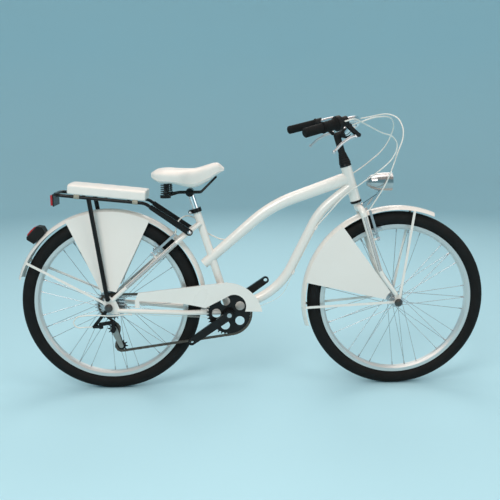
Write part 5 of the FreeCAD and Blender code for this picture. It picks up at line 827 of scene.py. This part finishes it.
for order, (reach, side) in enumerate((reach, side) for reach in LOOP_REACHES for side in (-1, 1)):
    loop = grid_mesh("pad_loop_%d" % order, loop_points(reach, side))
    loop.data.materials.append(webbing.material)
    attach(loop, "frame")

# %% [markdown]
# Bright bolt heads close the joints: one at each rack eye, one at each end of the seat clamp's bolt and one
# at each brake pivot. A head could be cut from a cylinder. Here it is a short profile turned about its own
# axis, with a washer under a low dome, because one function then makes all eight.

# %% Bolt heads
HEAD_RADIUS_SHARES = (0.02, 0.55, 0.9, 1.0, 1.0, 1.5, 1.5, 0.02)
HEAD_HEIGHT_SHARES = (1.15, 1.1, 0.85, 0.6, 0.42, 0.38, -0.2, -0.2)
HEAD_SIDES = 24


def bolt_points(centre, axis, lift, size):
    """A turned head: rings at each radius and height of the profile, square to the bolt's axis."""
    radius = np.array(HEAD_RADIUS_SHARES) * size
    height = np.array(HEAD_HEIGHT_SHARES) * size + lift
    axis = axis / np.linalg.norm(axis)
    side = np.cross(axis, (0.0, 0.0, 1.0))
    side /= np.linalg.norm(side)
    up = np.cross(side, axis)
    turn = np.linspace(0, 2 * np.pi, HEAD_SIDES, endpoint=False)
    ring = side * np.cos(turn)[:, None] + up * np.sin(turn)[:, None]
    return centre + radius[:, None, None] * ring + height[:, None, None] * axis


EYE_LIFT, CLAMP_LIFT, PIVOT_LIFT = 6.2 * MM, 17.2 * MM, 4.7 * MM
LARGE_HEAD, SMALL_HEAD = 5.0 * MM, 3.6 * MM
LEFT_BOLTS = [
    ("rack_bolt", (-0.22947, 0.04585, 0.59692), (0.104, 0.995, 0), EYE_LIFT, LARGE_HEAD, "frame"),
    ("seat_bolt", (-0.22688, 0, 0.66549), (0, 1, 0), CLAMP_LIFT, SMALL_HEAD, "frame"),
    ("front_pivot_bolt", *joint_place("front_left_arm_swing"), PIVOT_LIFT, SMALL_HEAD, "front_brake_arm"),
    ("rear_pivot_bolt", *joint_place("rear_left_arm_swing"), PIVOT_LIFT, SMALL_HEAD, "rear_brake_arm")]
for name, centre, axis, lift, size, carrier in LEFT_BOLTS:
    for side, mirror in (("right", (1, -1, 1)), ("left", (1, 1, 1))):
        points = bolt_points(np.multiply(centre, mirror), np.multiply(axis, mirror), lift, size)
        bolt = grid_mesh("%s_%s" % (name, side), points)
        bolt.data.materials.append(chrome.material)
        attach(bolt, carrier if carrier == "frame" else "%s_%s" % (carrier, side))

# %% [markdown]
# The studio is a shallow bowl: a flat floor that curves up into a wall all round, so no horizon
# shows from any side. It is a profile of radius and height turned about the upright axis.

# %% Studio bowl
BOWL_START, BOWL_FLAT, BOWL_CURVE, BOWL_WALL = 0.5 * MM, 5.5, 2.0, 4.0
FLAT_ROWS, BEND_ROWS, BOWL_SIDES = 12, 24, 96
flat = np.linspace(BOWL_START, BOWL_FLAT, FLAT_ROWS)
bend = np.linspace(0, np.pi / 2, BEND_ROWS)
bowl_radius = np.concatenate([flat, BOWL_FLAT + BOWL_CURVE * np.sin(bend), [BOWL_FLAT + BOWL_CURVE]])
bowl_height = np.concatenate([0 * flat, BOWL_CURVE * (1 - np.cos(bend)), [BOWL_CURVE + BOWL_WALL]])
around = np.linspace(0, 2 * np.pi, BOWL_SIDES, endpoint=False)
bowl_points = np.stack([bowl_radius[:, None] * np.cos(around), bowl_radius[:, None] * np.sin(around),
                        bowl_height[:, None] + 0 * around], axis=-1)
floor = grid_mesh("studio_floor", bowl_points[:, ::-1], capped=False)
floor_finish = Finish("floor_paper", (0.47, 0.73, 0.82), (0.455, 0.715, 0.81), rough=0.9, spread=0.05,
                      cloud_scale=0.4, grain_scale=300.0, grain=0.02)
floor.data.materials.append(floor_finish.material)

# %% [markdown]
# Four broad lights and an even sky leave soft edges and no hard shadow. Large lights near the object
# could be lamps with a diffuser; here they are square area lights in a slightly warm white, because
# the blue floor throws cool light back on the white paint.

# %% Studio light
SKY_WHITE, SKY_STRENGTH = (1.0, 0.95, 0.90), 0.45
WARM_WHITE, NEARLY_UPRIGHT = (1.0, 0.925, 0.87), 0.99
world = bpy.data.worlds.new("studio")
world.use_nodes = True
world.node_tree.nodes["Background"].inputs["Color"].default_value = (*SKY_WHITE, 1)
world.node_tree.nodes["Background"].inputs["Strength"].default_value = SKY_STRENGTH
bpy.context.scene.world = world
bpy.context.scene.view_settings.view_transform = "Standard"


def standing(axes, place):
    """The matrix of an object that stands at a place, with its own three axes as columns."""
    rows = [[*row, end] for row, end in zip(axes, place)]
    return Matrix(rows + [[0, 0, 0, 1]])


def soft_light(name, place, target, size, power):
    """A square area light that looks at a target point: its back axis points away from the target."""
    data = bpy.data.lights.new(name, "AREA")
    data.size = size
    data.energy = power
    data.color = WARM_WHITE
    made = bpy.data.objects.new(name, data)
    back = np.array(place, float) - np.array(target, float)
    back /= np.linalg.norm(back)
    side = np.cross((0, 1.0, 0) if abs(back[2]) > NEARLY_UPRIGHT else (0, 0, 1.0), back)
    side /= np.linalg.norm(side)
    up = np.cross(back, side)
    made.matrix_world = standing(np.stack([side, up, back], axis=1), place)
    bpy.context.scene.collection.objects.link(made)


soft_light("key", (-1.6, -3.4, 3.4), (0, 0, 0.4), size=2.2, power=110)
soft_light("fill", (3.2, -2.4, 2.0), (0, 0, 0.5), size=2.4, power=33)
soft_light("back", (0.4, 3.4, 3.4), (0, 0, 0.5), size=2.6, power=46)
soft_light("top", (0, 0, 4.6), (0, 0, 0), size=3.0, power=64)
print("lights set")

# %% [markdown]
# The camera stands where the photograph was taken: a little above the saddle, nearly square to the
# bicycle's drive side. Its angles and focal length were worked out from the wheels' ellipses.

# %% Camera
TILT, ROLL, TURN = -0.1814, 0.0083, -0.0302
FOCAL_PIXELS, IMAGE_PIXELS, SENSOR = 712.3, 500.0, 36.0
turn_x = np.array(Matrix.Rotation(TILT, 3, "X"))
turn_y = np.array(Matrix.Rotation(ROLL, 3, "Y"))
turn_z = np.array(Matrix.Rotation(TURN, 3, "Z"))
turned = turn_z @ turn_y @ turn_x
axes = np.stack([turned[:, 0], turned[:, 2], -turned[:, 1]], axis=1)
lens = bpy.data.cameras.new("studio_camera")
lens.sensor_width, lens.lens = SENSOR, SENSOR * FOCAL_PIXELS / IMAGE_PIXELS
camera = bpy.data.objects.new("studio_camera", lens)
camera_place = (-0.08435, -2.5879, 0.9962)
camera.matrix_world = standing(axes, camera_place)
bpy.context.scene.collection.objects.link(camera)
bpy.context.scene.camera = camera
print("camera at", camera_place)
